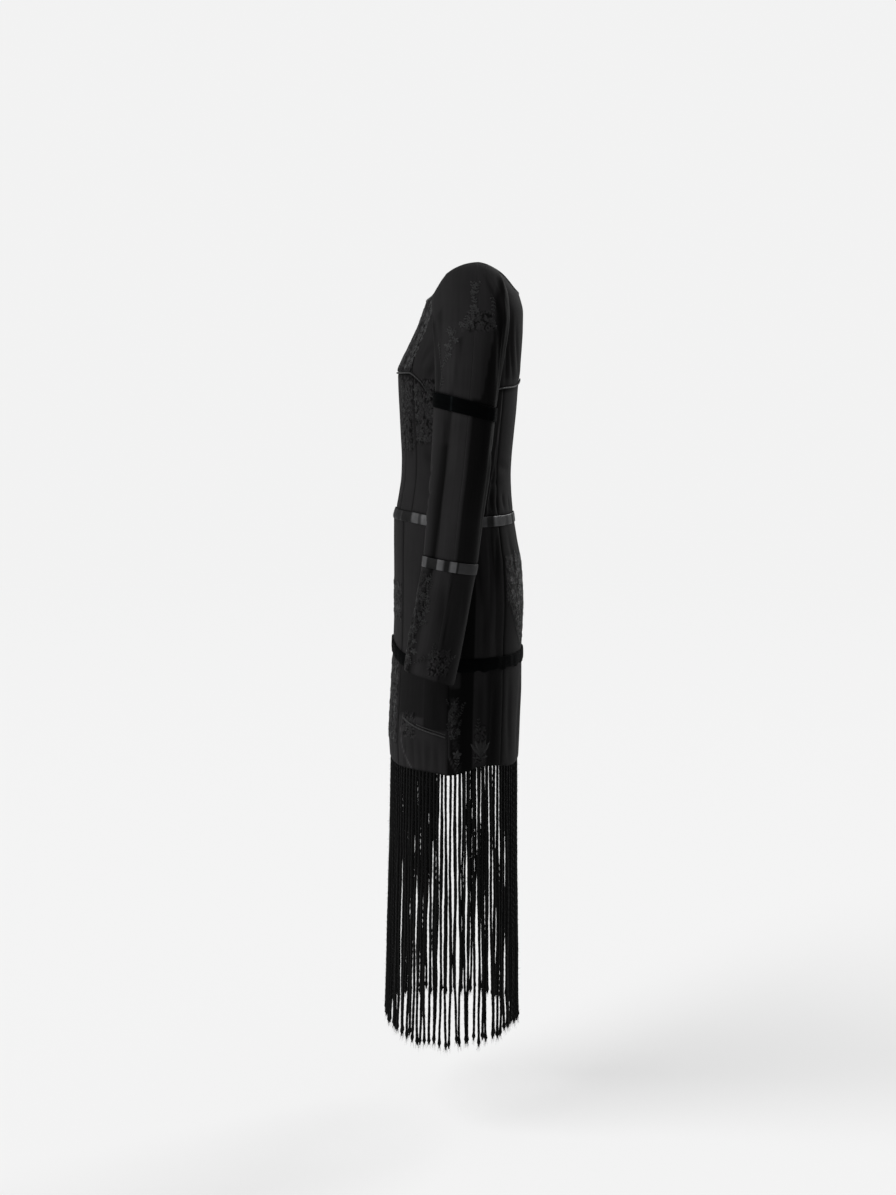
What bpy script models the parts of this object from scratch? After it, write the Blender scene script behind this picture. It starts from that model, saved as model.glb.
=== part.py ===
"""A long-sleeved patchwork evening dress with a deep yarn fringe, in its worn form.

The wearer faces -Y and the wearer's left is +X. The origin is on the centre line between the shoulders, at
the height of the shoulder seams. Every cloth piece is a thin wall that is bent from a flat slab: body pieces
lie on a stack of body sections, sleeves on a stack of arm rings, and ribbons on the same points moved out.
"""

import math
from collections import namedtuple

import bmesh
import bpy
from mathutils import Vector

# Cloth and gaps, in metres
WALL = 0.0015
HALF_GAP = 0.00016
LIFT = 0.0004
RIBBON_THICKNESS = 0.0010
SATIN_WIDTH = 0.0200
VELVET_WIDTH = 0.0235
VELVET_HIP_WIDTH = 0.0215
PIPING_WIDTH = 0.0024
PIPING_HEIGHT = 0.0018
BINDING_WIDTH = 0.0032
BINDING_DEPTH = 0.0026
BINDING_CLEAR = 0.0009

# Fringe, in metres
FRINGE_STRANDS = 96
FRINGE_UNEVEN = 0.0050
FRINGE_SWAY = 0.0016
FRINGE_FLARE_FRONT = 0.0090
FRINGE_FLARE_BACK = 0.0020
STRAND_SHARE = 0.52
STRAND_STEPS = 3
TAPE_SETBACK = 0.0009
TAPE_THICKNESS = 0.0032
TAPE_TOP = 0.0120
TAPE_BOTTOM = 0.0020
FRONT_TAPE_TURNS = (-89.6, 89.6)
BACK_TAPE_TURNS = (90.4, 269.6)
SCATTER = (12.9898, 78.233, 437.585)

# Small steps used to find directions on the cloth, in degrees, metres and sleeve columns or shares
TURN_STEP = 0.5
LEVEL_STEP = 0.001
COLUMN_STEP = 0.1
ROW_STEP = 0.001
EDGE_STEP = 0.02
ONE_POINT = 1e-6

# Grid of each cloth piece
QUARTER_COLUMNS = 10
YOKE_ROWS = 10
WAIST_ROWS = 6
SKIRT_ROWS = 11
HEAD_ROWS = 8
MID_ROWS = 6
CUFF_ROWS = 4
SIDE_SEAM_SHARE = 0.2

# Body sections from the shoulders down, in metres. Front and back are the centre-front and centre-back lines,
# middle is where the side line runs, and fullness squares the oval.
Section = namedtuple("Section", "level front back middle half_width fullness")
BODY = (
    Section(0.0010, -0.0180, 0.0580, 0.0300, 0.1120, 2.50),
    Section(-0.0130, -0.0365, 0.0760, 0.0300, 0.1360, 2.50),
    Section(-0.0190, -0.0400, 0.0830, 0.0300, 0.1420, 2.50),
    Section(-0.0320, -0.0455, 0.0925, 0.0300, 0.1470, 2.50),
    Section(-0.0515, -0.0528, 0.1025, 0.0290, 0.1500, 2.50),
    Section(-0.0800, -0.0622, 0.1088, 0.0240, 0.1500, 2.50),
    Section(-0.1075, -0.0728, 0.1085, 0.0170, 0.1470, 2.45),
    Section(-0.1340, -0.0854, 0.1072, 0.0100, 0.1420, 2.40),
    Section(-0.1600, -0.0982, 0.1053, 0.0040, 0.1370, 2.40),
    Section(-0.1770, -0.1044, 0.1043, 0.0010, 0.1345, 2.35),
    Section(-0.2000, -0.1040, 0.1012, 0.0000, 0.1325, 2.30),
    Section(-0.2430, -0.1020, 0.0980, -0.0005, 0.1280, 2.25),
    Section(-0.2850, -0.1000, 0.0938, -0.0010, 0.1220, 2.20),
    Section(-0.3260, -0.0982, 0.0901, -0.0020, 0.1190, 2.15),
    Section(-0.3540, -0.0990, 0.0889, -0.0035, 0.1210, 2.15),
    Section(-0.3810, -0.1025, 0.0898, -0.0055, 0.1270, 2.15),
    Section(-0.4080, -0.1075, 0.0920, -0.0070, 0.1350, 2.15),
    Section(-0.4255, -0.1118, 0.0940, -0.0080, 0.1410, 2.15),
    Section(-0.4630, -0.1120, 0.0999, -0.0100, 0.1510, 2.15),
    Section(-0.5000, -0.1118, 0.1065, -0.0120, 0.1590, 2.15),
    Section(-0.5730, -0.1116, 0.1108, -0.0145, 0.1690, 2.15),
    Section(-0.6400, -0.1135, 0.1082, -0.0160, 0.1720, 2.15),
    Section(-0.7110, -0.1175, 0.1082, -0.0180, 0.1720, 2.15),
    Section(-0.7660, -0.1206, 0.1062, -0.0190, 0.1710, 2.15),
    Section(-0.7940, -0.1218, 0.1052, -0.0190, 0.1705, 2.15),
    Section(-0.8500, -0.1192, 0.1028, -0.0190, 0.1690, 2.15),
)

# Lines round the body. Turn is in degrees from the centre front, over the left side, to the centre back.
Mark = namedtuple("Mark", "turn level")
NECKLINE = (
    Mark(0, -0.0596),
    Mark(20, -0.0584),
    Mark(31, -0.0553),
    Mark(36, -0.0510),
    Mark(43, -0.0320),
    Mark(48, -0.0190),
    Mark(54, -0.0125),
    Mark(70, -0.0035),
    Mark(90, -0.0008),
    Mark(112, -0.0035),
    Mark(130, -0.0118),
    Mark(137, -0.0190),
    Mark(143, -0.0315),
    Mark(150, -0.0425),
    Mark(165, -0.0465),
    Mark(180, -0.0475),
)
UNDERBUST = (
    Mark(0, -0.1800),
    Mark(40, -0.1805),
    Mark(53, -0.1940),
    Mark(65, -0.2200),
    Mark(90, -0.2360),
    Mark(115, -0.2170),
    Mark(130, -0.2070),
    Mark(152, -0.2030),
    Mark(180, -0.1900),
)
WAIST_SEAM = (
    Mark(0, -0.4090),
    Mark(45, -0.4125),
    Mark(70, -0.4180),
    Mark(90, -0.4200),
    Mark(135, -0.4190),
    Mark(180, -0.4155),
)
HIP_RIBBON = (
    Mark(0, -0.6300),
    Mark(15, -0.6345),
    Mark(40, -0.6475),
    Mark(60, -0.6530),
    Mark(90, -0.6530),
    Mark(135, -0.6515),
    Mark(180, -0.6480),
)
HEM = (
    Mark(0, -0.8357),
    Mark(36, -0.8408),
    Mark(60, -0.8413),
    Mark(80, -0.8443),
    Mark(90, -0.8473),
    Mark(100, -0.8443),
    Mark(108, -0.8383),
    Mark(116, -0.8348),
    Mark(130, -0.8363),
    Mark(150, -0.8433),
    Mark(180, -0.8408),
)
FRINGE_ENDS = (
    Mark(0, -1.2910),
    Mark(30, -1.2960),
    Mark(60, -1.3050),
    Mark(90, -1.3090),
    Mark(120, -1.3070),
    Mark(150, -1.3020),
    Mark(180, -1.2960),
)
HIP_PIPING = (
    Mark(45, -0.7560),
    Mark(54, -0.7640),
    Mark(63, -0.7700),
    Mark(72, -0.7745),
    Mark(81, -0.7790),
    Mark(88, -0.7830),
)

# Armhole from the underarm up to the neckline, at equal steps
ARMHOLE_FRONT = (
    Mark(90, -0.2000),
    Mark(80, -0.1920),
    Mark(73, -0.1750),
    Mark(66, -0.1500),
    Mark(59, -0.1210),
    Mark(52, -0.0940),
    Mark(44, -0.0715),
    Mark(36, -0.0510),
)
ARMHOLE_BACK = (
    Mark(90, -0.2000),
    Mark(101, -0.1910),
    Mark(111, -0.1720),
    Mark(119, -0.1470),
    Mark(125, -0.1180),
    Mark(128, -0.0880),
    Mark(128.5, -0.0615),
    Mark(127.5, -0.0370),
    Mark(130, -0.0118),
)

# Turn of the seam between the front strip and the side front, at equal steps from the under-bust seam up
STRIP_SEAM = (45.0, 40.0, 37.5, 36.0, 31.0)
SIDE_FRONT_TURN = 36.0
WAIST_FRONT_TURN = 45.0
SIDE_TURN = 90.0
BACK_STRIP_TURN = 135.0
BACK_TURN = 180.0
WAIST_STRIP_COLUMNS = 5

# Rings of the left sleeve below its head. Out and middle place the centre, tilt lowers the back, in degrees.
Ring = namedtuple("Ring", "level out middle half_width half_depth tilt")
ARM = (
    Ring(-0.2260, 0.1840, 0.0105, 0.0412, 0.0512, 14.5),
    Ring(-0.2900, 0.1940, 0.0050, 0.0410, 0.0492, 13.0),
    Ring(-0.3400, 0.2020, 0.0005, 0.0405, 0.0475, 12.0),
    Ring(-0.4000, 0.2110, -0.0066, 0.0395, 0.0459, 10.5),
    Ring(-0.4835, 0.2210, -0.0150, 0.0385, 0.0440, 9.3),
    Ring(-0.5400, 0.2260, -0.0250, 0.0380, 0.0433, 10.0),
    Ring(-0.6000, 0.2300, -0.0362, 0.0375, 0.0432, 13.0),
    Ring(-0.6740, 0.2330, -0.0497, 0.0365, 0.0408, 17.0),
)
BAND_LEVEL = ARM[0].level
SATIN_ARM_LEVEL = ARM[4].level
CUFF_LEVEL = ARM[-1].level
SLEEVE_FULLNESS = 2.1

# Columns of a sleeve: how many steps of the armhole each stretch takes, and the arm angle where it ends
Stretch = namedtuple("Stretch", "steps end_angle")
SLEEVE_STRETCHES = (
    Stretch(8, 60.0),
    Stretch(3, -6.0),
    Stretch(3, -62.0),
    Stretch(8, -180.0),
)
SLEEVE_FRONT_COLUMNS = SLEEVE_STRETCHES[0].steps + SLEEVE_STRETCHES[1].steps
SLEEVE_COLUMNS = sum(stretch.steps for stretch in SLEEVE_STRETCHES)
HEAD_START = 0.80
HEAD_END = 1.05
RAISED_START = 0.0004

# Half a seam gap on a sleeve, as a share of a column and of the head's length
COLUMN_GAP = 0.011
HEAD_GAP = 0.008

# The way the cloth of the sleeve head leaves the armhole, at places counted in sleeve columns
Leaving = namedtuple("Leaving", "column out forward up")
HEAD_DIRECTIONS = (
    Leaving(0, 0.45, 0.00, -1.00),
    Leaving(2, 0.75, 0.30, -0.70),
    Leaving(5, 1.00, 0.30, -0.15),
    Leaving(8, 1.00, 0.28, 0.05),
    Leaving(11, 1.00, 0.00, -0.10),
    Leaving(14, 1.00, -0.20, -0.02),
    Leaving(17, 1.00, -0.28, -0.10),
    Leaving(20, 0.75, -0.30, -0.70),
    Leaving(22, 0.45, 0.00, -1.00),
)

# Main folds of a sleeve, as soft troughs down it. A lower fade keeps a trough deep nearer to its ends.
FOLD_FADE = 0.6
FOLD_STEEPNESS = 2.0
Fold = namedtuple("Fold", "top_level low_level top_angle low_angle half_angle depth")
SLEEVE_FOLDS = (
    Fold(-0.210, -0.600, 38.0, 47.0, 24.0, 0.0036),
    Fold(-0.090, -0.420, -46.0, -34.0, 22.0, 0.0034),
    Fold(-0.050, -0.330, -91.0, -80.0, 20.0, 0.0042),
    Fold(-0.330, -0.560, 130.0, 150.0, 26.0, 0.0028),
    Fold(-0.520, -0.660, 5.0, -12.0, 24.0, 0.0018),
)

LEFT = 1
RIGHT = -1
SIDES = {"left": LEFT, "right": RIGHT}


def clear_scene():
    """Take away whatever the scene already holds."""
    for thing in list(bpy.data.objects):
        bpy.data.objects.remove(thing, do_unlink=True)


def finish(name, colour, roughness):
    """A material of one colour and roughness."""
    made = bpy.data.materials.new(name)
    made.use_nodes = True
    shader = made.node_tree.nodes["Principled BSDF"]
    shader.inputs["Base Color"].default_value = (*colour, 1.0)
    shader.inputs["Roughness"].default_value = roughness
    shader.inputs["Metallic"].default_value = 0.0
    made.diffuse_color = (*colour, 1.0)
    return made


def blend(start, end, share):
    """The value a share of the way from start to end."""
    return start + (end - start) * share


def slopes(places, values):
    """Slopes for a smooth curve that never overshoots its points."""
    steps = [b - a for a, b in zip(places, places[1:])]
    rises = [(b - a) / step for a, b, step in zip(values, values[1:], steps)]
    found = [rises[0]]
    for before, after in zip(rises, rises[1:]):
        found.append(0.0 if before * after <= 0 else 2 * before * after / (before + after))
    found.append(rises[-1])
    return found


def smooth(places, values, at):
    """The value at a place, on a smooth curve through the points."""
    if places[0] > places[-1]:
        places = places[::-1]
        values = values[::-1]
    at = min(max(at, places[0]), places[-1])
    index = 0
    while index < len(places) - 2 and at > places[index + 1]:
        index += 1
    tangents = slopes(places, values)
    step = places[index + 1] - places[index]
    share = (at - places[index]) / step
    square = share * share
    cube = square * share
    return (
        (2 * cube - 3 * square + 1) * values[index]
        + (cube - 2 * square + share) * step * tangents[index]
        + (3 * square - 2 * cube) * values[index + 1]
        + (cube - square) * step * tangents[index + 1]
    )


def read_row(table, key, at):
    """A whole row of a table, read smoothly at a place of its key column."""
    places = [getattr(row, key) for row in table]
    return type(table[0])(*(
        at if column == key else smooth(places, [getattr(row, column) for row in table], at)
        for column in table[0]._fields
    ))


def line_level(line, turn):
    """Level of a line round the body at a turn in degrees."""
    return smooth([mark.turn for mark in line], [mark.level for mark in line], turn)


def along(marks, share):
    """Turn and level a share of the way along marks at equal steps."""
    places = [index / (len(marks) - 1) for index in range(len(marks))]
    turn = smooth(places, [mark.turn for mark in marks], share)
    level = smooth(places, [mark.level for mark in marks], share)
    return turn, level


def oval(angle, fullness):
    """Sine and cosine of an angle, grown to a squarer oval."""
    sine = math.sin(angle)
    cosine = math.cos(angle)
    grow = (abs(sine) ** fullness + abs(cosine) ** fullness) ** (-1 / fullness)
    return sine * grow, cosine * grow


def body_point(turn, level):
    """A point of the body's outer cloth."""
    row = read_row(BODY, "level", level)
    across, ahead = oval(math.radians(turn), row.fullness)
    depth = row.middle - row.front if ahead > 0 else row.back - row.middle
    return Vector((row.half_width * across, row.middle - depth * ahead, level))


def body_frame(turn, level):
    """A point of the body's cloth, its outward direction and its upward direction."""
    point = body_point(turn, level)
    around = body_point(turn + TURN_STEP, level) - body_point(turn - TURN_STEP, level)
    upward = body_point(turn, level + LEVEL_STEP) - body_point(turn, level - LEVEL_STEP)
    return point, around.cross(upward).normalized(), upward.normalized()


def body_shell(turn, level, depth):
    """A point at a depth from the body's outer face, outwards where the depth is positive."""
    point, outward, _ = body_frame(turn, level)
    return point + outward * depth


def ring_point(ring, angle):
    """A point of an arm ring: angle 0 is outermost and 90 is the front."""
    ahead, out = oval(math.radians(angle), SLEEVE_FULLNESS)
    forward = ring.half_depth * ahead
    drop = forward * math.tan(math.radians(ring.tilt))
    return Vector((ring.out + ring.half_width * out, ring.middle - forward, ring.level + drop))


def column_angle(column):
    """Arm angle of a sleeve column, which may lie between two columns."""
    start = 180.0
    for stretch in SLEEVE_STRETCHES:
        if column <= stretch.steps:
            return blend(start, stretch.end_angle, column / stretch.steps)
        column -= stretch.steps
        start = stretch.end_angle
    return start


def armhole_mark(column):
    """Turn and level of the sleeve's upper edge at a sleeve column."""
    front, to_top, from_top, back = (stretch.steps for stretch in SLEEVE_STRETCHES)
    if column <= front:
        return along(ARMHOLE_FRONT, column / front)
    if column <= front + to_top:
        turn = blend(ARMHOLE_FRONT[-1].turn, SIDE_TURN, (column - front) / to_top)
    elif column <= front + to_top + from_top:
        turn = blend(SIDE_TURN, ARMHOLE_BACK[-1].turn, (column - front - to_top) / from_top)
    else:
        return along(ARMHOLE_BACK, (SLEEVE_COLUMNS - column) / back)
    return turn, line_level(NECKLINE, turn)


def head_point(column, share):
    """A point of the sleeve head, from the armhole at 0 to the top of the velvet band at 1."""
    leaving = read_row(HEAD_DIRECTIONS, "column", column)
    away = Vector((leaving.out, -leaving.forward, leaving.up)).normalized()
    start = body_point(*armhole_mark(column)) + away * RAISED_START
    angle = column_angle(column)
    end = ring_point(ARM[0], angle)
    down = (ring_point(read_row(ARM, "level", BAND_LEVEL - EDGE_STEP), angle) - end).normalized()
    chord = (end - start).length
    square = share * share
    cube = square * share
    return (
        (2 * cube - 3 * square + 1) * start
        + (cube - 2 * square + share) * chord * HEAD_START * away
        + (3 * square - 2 * cube) * end
        + (cube - square) * chord * HEAD_END * down
    )


def arm_point(column, level):
    """A point of the sleeve below its head."""
    return ring_point(read_row(ARM, "level", level), column_angle(column))


def fold_depth(angle, level):
    """How far the main folds press the sleeve in at an arm angle and level."""
    pressed = 0.0
    for fold in SLEEVE_FOLDS:
        share = (fold.top_level - level) / (fold.top_level - fold.low_level)
        if not 0 < share < 1:
            continue
        middle = blend(fold.top_angle, fold.low_angle, share)
        apart = ((angle - middle + 180.0) % 360.0 - 180.0) / fold.half_angle
        fading = math.sin(math.pi * share) ** FOLD_FADE
        pressed += fold.depth * fading * math.exp(-apart * apart * FOLD_STEEPNESS)
    return pressed


def sleeve_frame(place, column, row):
    """A sleeve point pressed in by the folds, and its outward direction."""
    point = place(column, row)
    step = ROW_STEP if row < 0.5 else -ROW_STEP
    before = (column - COLUMN_STEP) % SLEEVE_COLUMNS
    after = (column + COLUMN_STEP) % SLEEVE_COLUMNS
    around = place(after, row) - place(before, row)
    down = (place(column, row + step) - point) * (1 if step > 0 else -1)
    outward = down.cross(around).normalized()
    return point - outward * fold_depth(column_angle(column), point.z), outward


def arm_row(column, share):
    """A sleeve point, with the row counted from the velvet band at 0 to the cuff at 1."""
    return arm_point(column, blend(BAND_LEVEL, CUFF_LEVEL, share))


def slab(columns, rows):
    """A flat closed lattice: across and up from 0 to 1, outer face at depth 0 and inner face at depth 1."""
    mesh = bmesh.new()
    bmesh.ops.create_grid(mesh, x_segments=columns, y_segments=rows, size=0.5)
    bmesh.ops.translate(mesh, verts=mesh.verts, vec=(0.5, 0.5, 0.0))
    copied = bmesh.ops.duplicate(mesh, geom=mesh.verts[:] + mesh.edges[:] + mesh.faces[:])
    inner = [part for part in copied["geom"] if isinstance(part, bmesh.types.BMVert)]
    bmesh.ops.translate(mesh, verts=inner, vec=(0.0, 0.0, 1.0))
    border = [edge for edge in mesh.edges if edge.is_boundary]
    bmesh.ops.bridge_loops(mesh, edges=border)
    return mesh


def hoop(columns, rows):
    """A slab without its two end faces, to be bent round until the ends meet."""
    mesh = slab(columns, rows)
    ends = [
        face for face in mesh.faces
        if all(vert.co.x < ONE_POINT for vert in face.verts)
        or all(vert.co.x > 1 - ONE_POINT for vert in face.verts)
    ]
    bmesh.ops.delete(mesh, geom=ends, context="FACES_ONLY")
    return mesh


def bend(mesh, place, side=LEFT):
    """Move every point of a lattice to its place on the dress, mirrored for the right side."""
    for vert in mesh.verts:
        point = place(vert.co.x, vert.co.y, vert.co.z)
        vert.co = (point.x * side, point.y, point.z)


def make_object(name, mesh, material, smooth_angle=40.0):
    """Turn a finished lattice into a named object."""
    bmesh.ops.remove_doubles(mesh, verts=mesh.verts[:], dist=ONE_POINT)
    bmesh.ops.triangulate(mesh, faces=mesh.faces[:])
    bmesh.ops.recalc_face_normals(mesh, faces=mesh.faces[:])
    data = bpy.data.meshes.new(name)
    mesh.to_mesh(data)
    mesh.free()
    data.shade_smooth()
    data.set_sharp_from_angle(angle=math.radians(smooth_angle))
    data.materials.append(material)
    made = bpy.data.objects.new(name, data)
    bpy.context.scene.collection.objects.link(made)
    return made


def gap_turn(turn, level):
    """Half a seam gap as a turn in degrees."""
    around = body_point(turn + TURN_STEP, level) - body_point(turn - TURN_STEP, level)
    return HALF_GAP * 2 * TURN_STEP / around.length


def edged(start, end, share, level):
    """Turn between two seams, kept half a gap inside both."""
    return blend(start + gap_turn(start, level), end - gap_turn(end, level), share)


def body_panel(name, turns, top, bottom, columns, rows, material, side=LEFT, hemmed=False):
    """A body piece between two upright seams and two lines round the body."""
    mesh = slab(columns, rows)

    def place(across, up, inside):
        middle = (line_level(top, turns[0]) + line_level(bottom, turns[0])) / 2
        turn = edged(turns[0], turns[1], across, middle)
        low = line_level(bottom, abs(turn)) + (0.0 if hemmed else HALF_GAP)
        high = line_level(top, abs(turn)) - HALF_GAP
        return body_shell(turn, blend(low, high, up), -inside * WALL)

    bend(mesh, place, side)
    return make_object(name, mesh, material)


def coons(edges, across, up):
    """A turn and level inside four edges, given as left, right, bottom and top."""
    left, right, bottom, top = edges
    parts = []
    for axis in (0, 1):
        sideways = blend(left(up)[axis], right(up)[axis], across)
        upright = blend(bottom(across)[axis], top(across)[axis], up)
        corners = blend(
            blend(bottom(0)[axis], bottom(1)[axis], across),
            blend(top(0)[axis], top(1)[axis], across),
            up,
        )
        parts.append(sideways + upright - corners)
    return parts


def yoke_piece(name, edges, columns, material, side=LEFT):
    """A bodice piece inside four edges of turns and levels."""
    mesh = slab(columns, YOKE_ROWS)

    def place(across, up, inside):
        turn, level = coons(edges, across, up)
        return body_shell(turn, level, -inside * WALL)

    bend(mesh, place, side)
    return make_object(name, mesh, material)


def strip_seam(share):
    """The seam beside the front strip, from the under-bust seam up to the neckline."""
    places = [index / (len(STRIP_SEAM) - 1) for index in range(len(STRIP_SEAM))]
    turn = smooth(places, STRIP_SEAM, share)
    return turn, blend(line_level(UNDERBUST, turn), line_level(NECKLINE, turn), share)


def bodice_side_edge(armhole, seam_turn, sign):
    """The side seam and then the armhole, half a gap off the sleeve. Sign is the way to the seam in turns."""
    def edge(share):
        if share < SIDE_SEAM_SHARE:
            level = blend(line_level(UNDERBUST, SIDE_TURN), armhole[0].level, share / SIDE_SEAM_SHARE)
            return seam_turn - sign * gap_turn(SIDE_TURN, level), level
        turn, level = along(armhole, (share - SIDE_SEAM_SHARE) / (1 - SIDE_SEAM_SHARE))
        return turn - sign * gap_turn(turn, level), level - HALF_GAP
    return edge


def level_edge(line, start, end, offset):
    """Part of a line round the body, moved up or down by an offset."""
    def edge(share):
        turn = blend(start, end, share)
        return turn, line_level(line, abs(turn)) + offset
    return edge


def make_yoke(plain, lace):
    """The five pieces above the under-bust seam."""
    low_turn, high_turn = STRIP_SEAM[0], STRIP_SEAM[-1]

    def strip_right(share):
        turn, level = strip_seam(share)
        return turn - gap_turn(turn, level), level

    def strip_left(share):
        turn, level = strip_right(share)
        return -turn, level

    def side_left(share):
        turn, level = strip_seam(share)
        return turn + gap_turn(turn, level), level

    def centre_back(share):
        level = blend(line_level(UNDERBUST, BACK_TURN), line_level(NECKLINE, BACK_TURN), share)
        return BACK_TURN - gap_turn(BACK_TURN, level), level

    strip = (
        strip_left,
        strip_right,
        level_edge(UNDERBUST, -low_turn, low_turn, HALF_GAP),
        level_edge(NECKLINE, -high_turn, high_turn, 0.0),
    )
    yoke_piece("yoke_front", strip, 2 * WAIST_STRIP_COLUMNS, lace)
    side_front = (
        side_left,
        bodice_side_edge(ARMHOLE_FRONT, SIDE_TURN, 1),
        level_edge(UNDERBUST, low_turn, SIDE_TURN, HALF_GAP),
        level_edge(NECKLINE, high_turn, ARMHOLE_FRONT[-1].turn, 0.0),
    )
    side_back = (
        bodice_side_edge(ARMHOLE_BACK, SIDE_TURN, -1),
        centre_back,
        level_edge(UNDERBUST, SIDE_TURN, BACK_TURN, HALF_GAP),
        level_edge(NECKLINE, ARMHOLE_BACK[-1].turn, BACK_TURN, 0.0),
    )
    for word, side in SIDES.items():
        yoke_piece("yoke_side_" + word, side_front, QUARTER_COLUMNS - WAIST_STRIP_COLUMNS, plain, side)
        yoke_piece("yoke_back_" + word, side_back, QUARTER_COLUMNS, plain, side)


def columns_between(start, end):
    """Grid columns between two turns, so that all pieces share their columns."""
    return round((end - start) / SIDE_TURN * QUARTER_COLUMNS)


def make_waist(plain, lace):
    """The midriff between the under-bust seam and the waist seam."""
    front = (-WAIST_FRONT_TURN, WAIST_FRONT_TURN)
    body_panel("waist_front", front, UNDERBUST, WAIST_SEAM, columns_between(*front), WAIST_ROWS, lace)
    pieces = {
        "waist_side_": (WAIST_FRONT_TURN, BACK_STRIP_TURN),
        "waist_back_": (BACK_STRIP_TURN, BACK_TURN),
    }
    for name, turns in pieces.items():
        for word, side in SIDES.items():
            columns = columns_between(*turns)
            body_panel(name + word, turns, UNDERBUST, WAIST_SEAM, columns, WAIST_ROWS, plain, side)


def make_skirt(plain):
    """The skirt between the waist seam and the hem."""
    front = (-SIDE_FRONT_TURN, SIDE_FRONT_TURN)
    columns = columns_between(*front)
    body_panel("skirt_front", front, WAIST_SEAM, HEM, columns, SKIRT_ROWS, plain, hemmed=True)
    pieces = {
        "skirt_side_front_": (SIDE_FRONT_TURN, SIDE_TURN),
        "skirt_side_back_": (SIDE_TURN, BACK_STRIP_TURN),
        "skirt_back_": (BACK_STRIP_TURN, BACK_TURN),
    }
    for name, turns in pieces.items():
        for word, side in SIDES.items():
            columns = columns_between(*turns)
            body_panel(name + word, turns, WAIST_SEAM, HEM, columns, SKIRT_ROWS, plain, side, hemmed=True)


def even_rows(start, end, rows):
    """Shares of evenly spaced rows, both ends among them."""
    return [blend(start, end, row / rows) for row in range(rows + 1)]


def sleeve_piece(name, place, columns, shares, material, side):
    """A sleeve piece between two columns, with a row of points at each share of its length."""
    rows = len(shares) - 1
    mesh = slab(columns[1] - columns[0], rows)

    def bent(across, up, inside):
        column = blend(columns[0] + COLUMN_GAP, columns[1] - COLUMN_GAP, across)
        point, outward = sleeve_frame(place, column, shares[round((1 - up) * rows)])
        return point - outward * inside * WALL

    bend(mesh, bent, side)
    return make_object(name, mesh, material)


def arm_share(level):
    """Share of the sleeve between the velvet band and the cuff at a level."""
    return (BAND_LEVEL - level) / (BAND_LEVEL - CUFF_LEVEL)


def make_sleeve(word, side, plain):
    """One sleeve in six pieces: head, middle and cuff, each with a front and a back."""
    gap = HALF_GAP / (BAND_LEVEL - CUFF_LEVEL)
    satin = arm_share(SATIN_ARM_LEVEL)
    under_velvet = arm_share(BAND_LEVEL - VELVET_WIDTH)
    under_satin = arm_share(SATIN_ARM_LEVEL - SATIN_WIDTH)
    head = even_rows(0, 1 - HEAD_GAP, HEAD_ROWS)
    mid = [gap] + even_rows(under_velvet, satin - gap, MID_ROWS - 1)
    cuff = [satin + gap] + even_rows(under_satin, 1, CUFF_ROWS - 1)
    halves = {
        "front": (0, SLEEVE_FRONT_COLUMNS),
        "back": (SLEEVE_FRONT_COLUMNS, SLEEVE_COLUMNS),
    }
    for half, columns in halves.items():
        ending = half + "_" + word
        sleeve_piece("sleeve_head_" + ending, head_point, columns, head, plain, side)
        sleeve_piece("sleeve_mid_" + ending, arm_row, columns, mid, plain, side)
        sleeve_piece("sleeve_cuff_" + ending, arm_row, columns, cuff, plain, side)


def arm_band(name, level, width, material, side):
    """A ribbon round a sleeve, with its upper edge at a level."""
    mesh = hoop(SLEEVE_COLUMNS, 1)

    def place(across, up, inside):
        share = arm_share(blend(level - width, level, up))
        point, outward = sleeve_frame(arm_row, across * SLEEVE_COLUMNS, share)
        return point + outward * (LIFT + RIBBON_THICKNESS * (1 - inside))

    bend(mesh, place, side)
    return make_object(name, mesh, material)


def full_turn(across):
    """Turn on the left half and the side, for a share of the whole way round the body."""
    turn = across * 2 * BACK_TURN
    if turn <= BACK_TURN:
        return turn, LEFT
    return 2 * BACK_TURN - turn, RIGHT


def body_hoop(name, line, offsets, heights, material):
    """A ribbon round the body, between two offsets from a line and two heights off the cloth."""
    mesh = hoop(4 * QUARTER_COLUMNS, 1)

    def place(across, up, inside):
        turn, side = full_turn(across)
        level = line_level(line, turn) + blend(offsets[0], offsets[1], up)
        point = body_shell(turn, level, blend(heights[1], heights[0], inside))
        return Vector((point.x * side, point.y, point.z))

    bend(mesh, place)
    return make_object(name, mesh, material)


def make_ribbons(satin, velvet, piping):
    """The ribbons and piping that lie on the body."""
    ribbon = (LIFT, LIFT + RIBBON_THICKNESS)
    body_hoop("satin_waist", WAIST_SEAM, (-SATIN_WIDTH, 0.0), ribbon, satin)
    body_hoop("velvet_hip", HIP_RIBBON, (-VELVET_HIP_WIDTH, 0.0), ribbon, velvet)
    across = (-PIPING_WIDTH / 2, PIPING_WIDTH / 2)
    body_hoop("piping_underbust", UNDERBUST, across, (LIFT, LIFT + PIPING_HEIGHT), piping)
    for word, side in SIDES.items():
        mesh = slab(len(HIP_PIPING) - 1, 1)

        def place(share, up, inside):
            turn, level = along(HIP_PIPING, share)
            height = LIFT + PIPING_HEIGHT * (1 - inside)
            return body_shell(turn, level + blend(*across, up), height)

        bend(mesh, place, side)
        make_object("piping_hip_" + word, mesh, piping)


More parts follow.
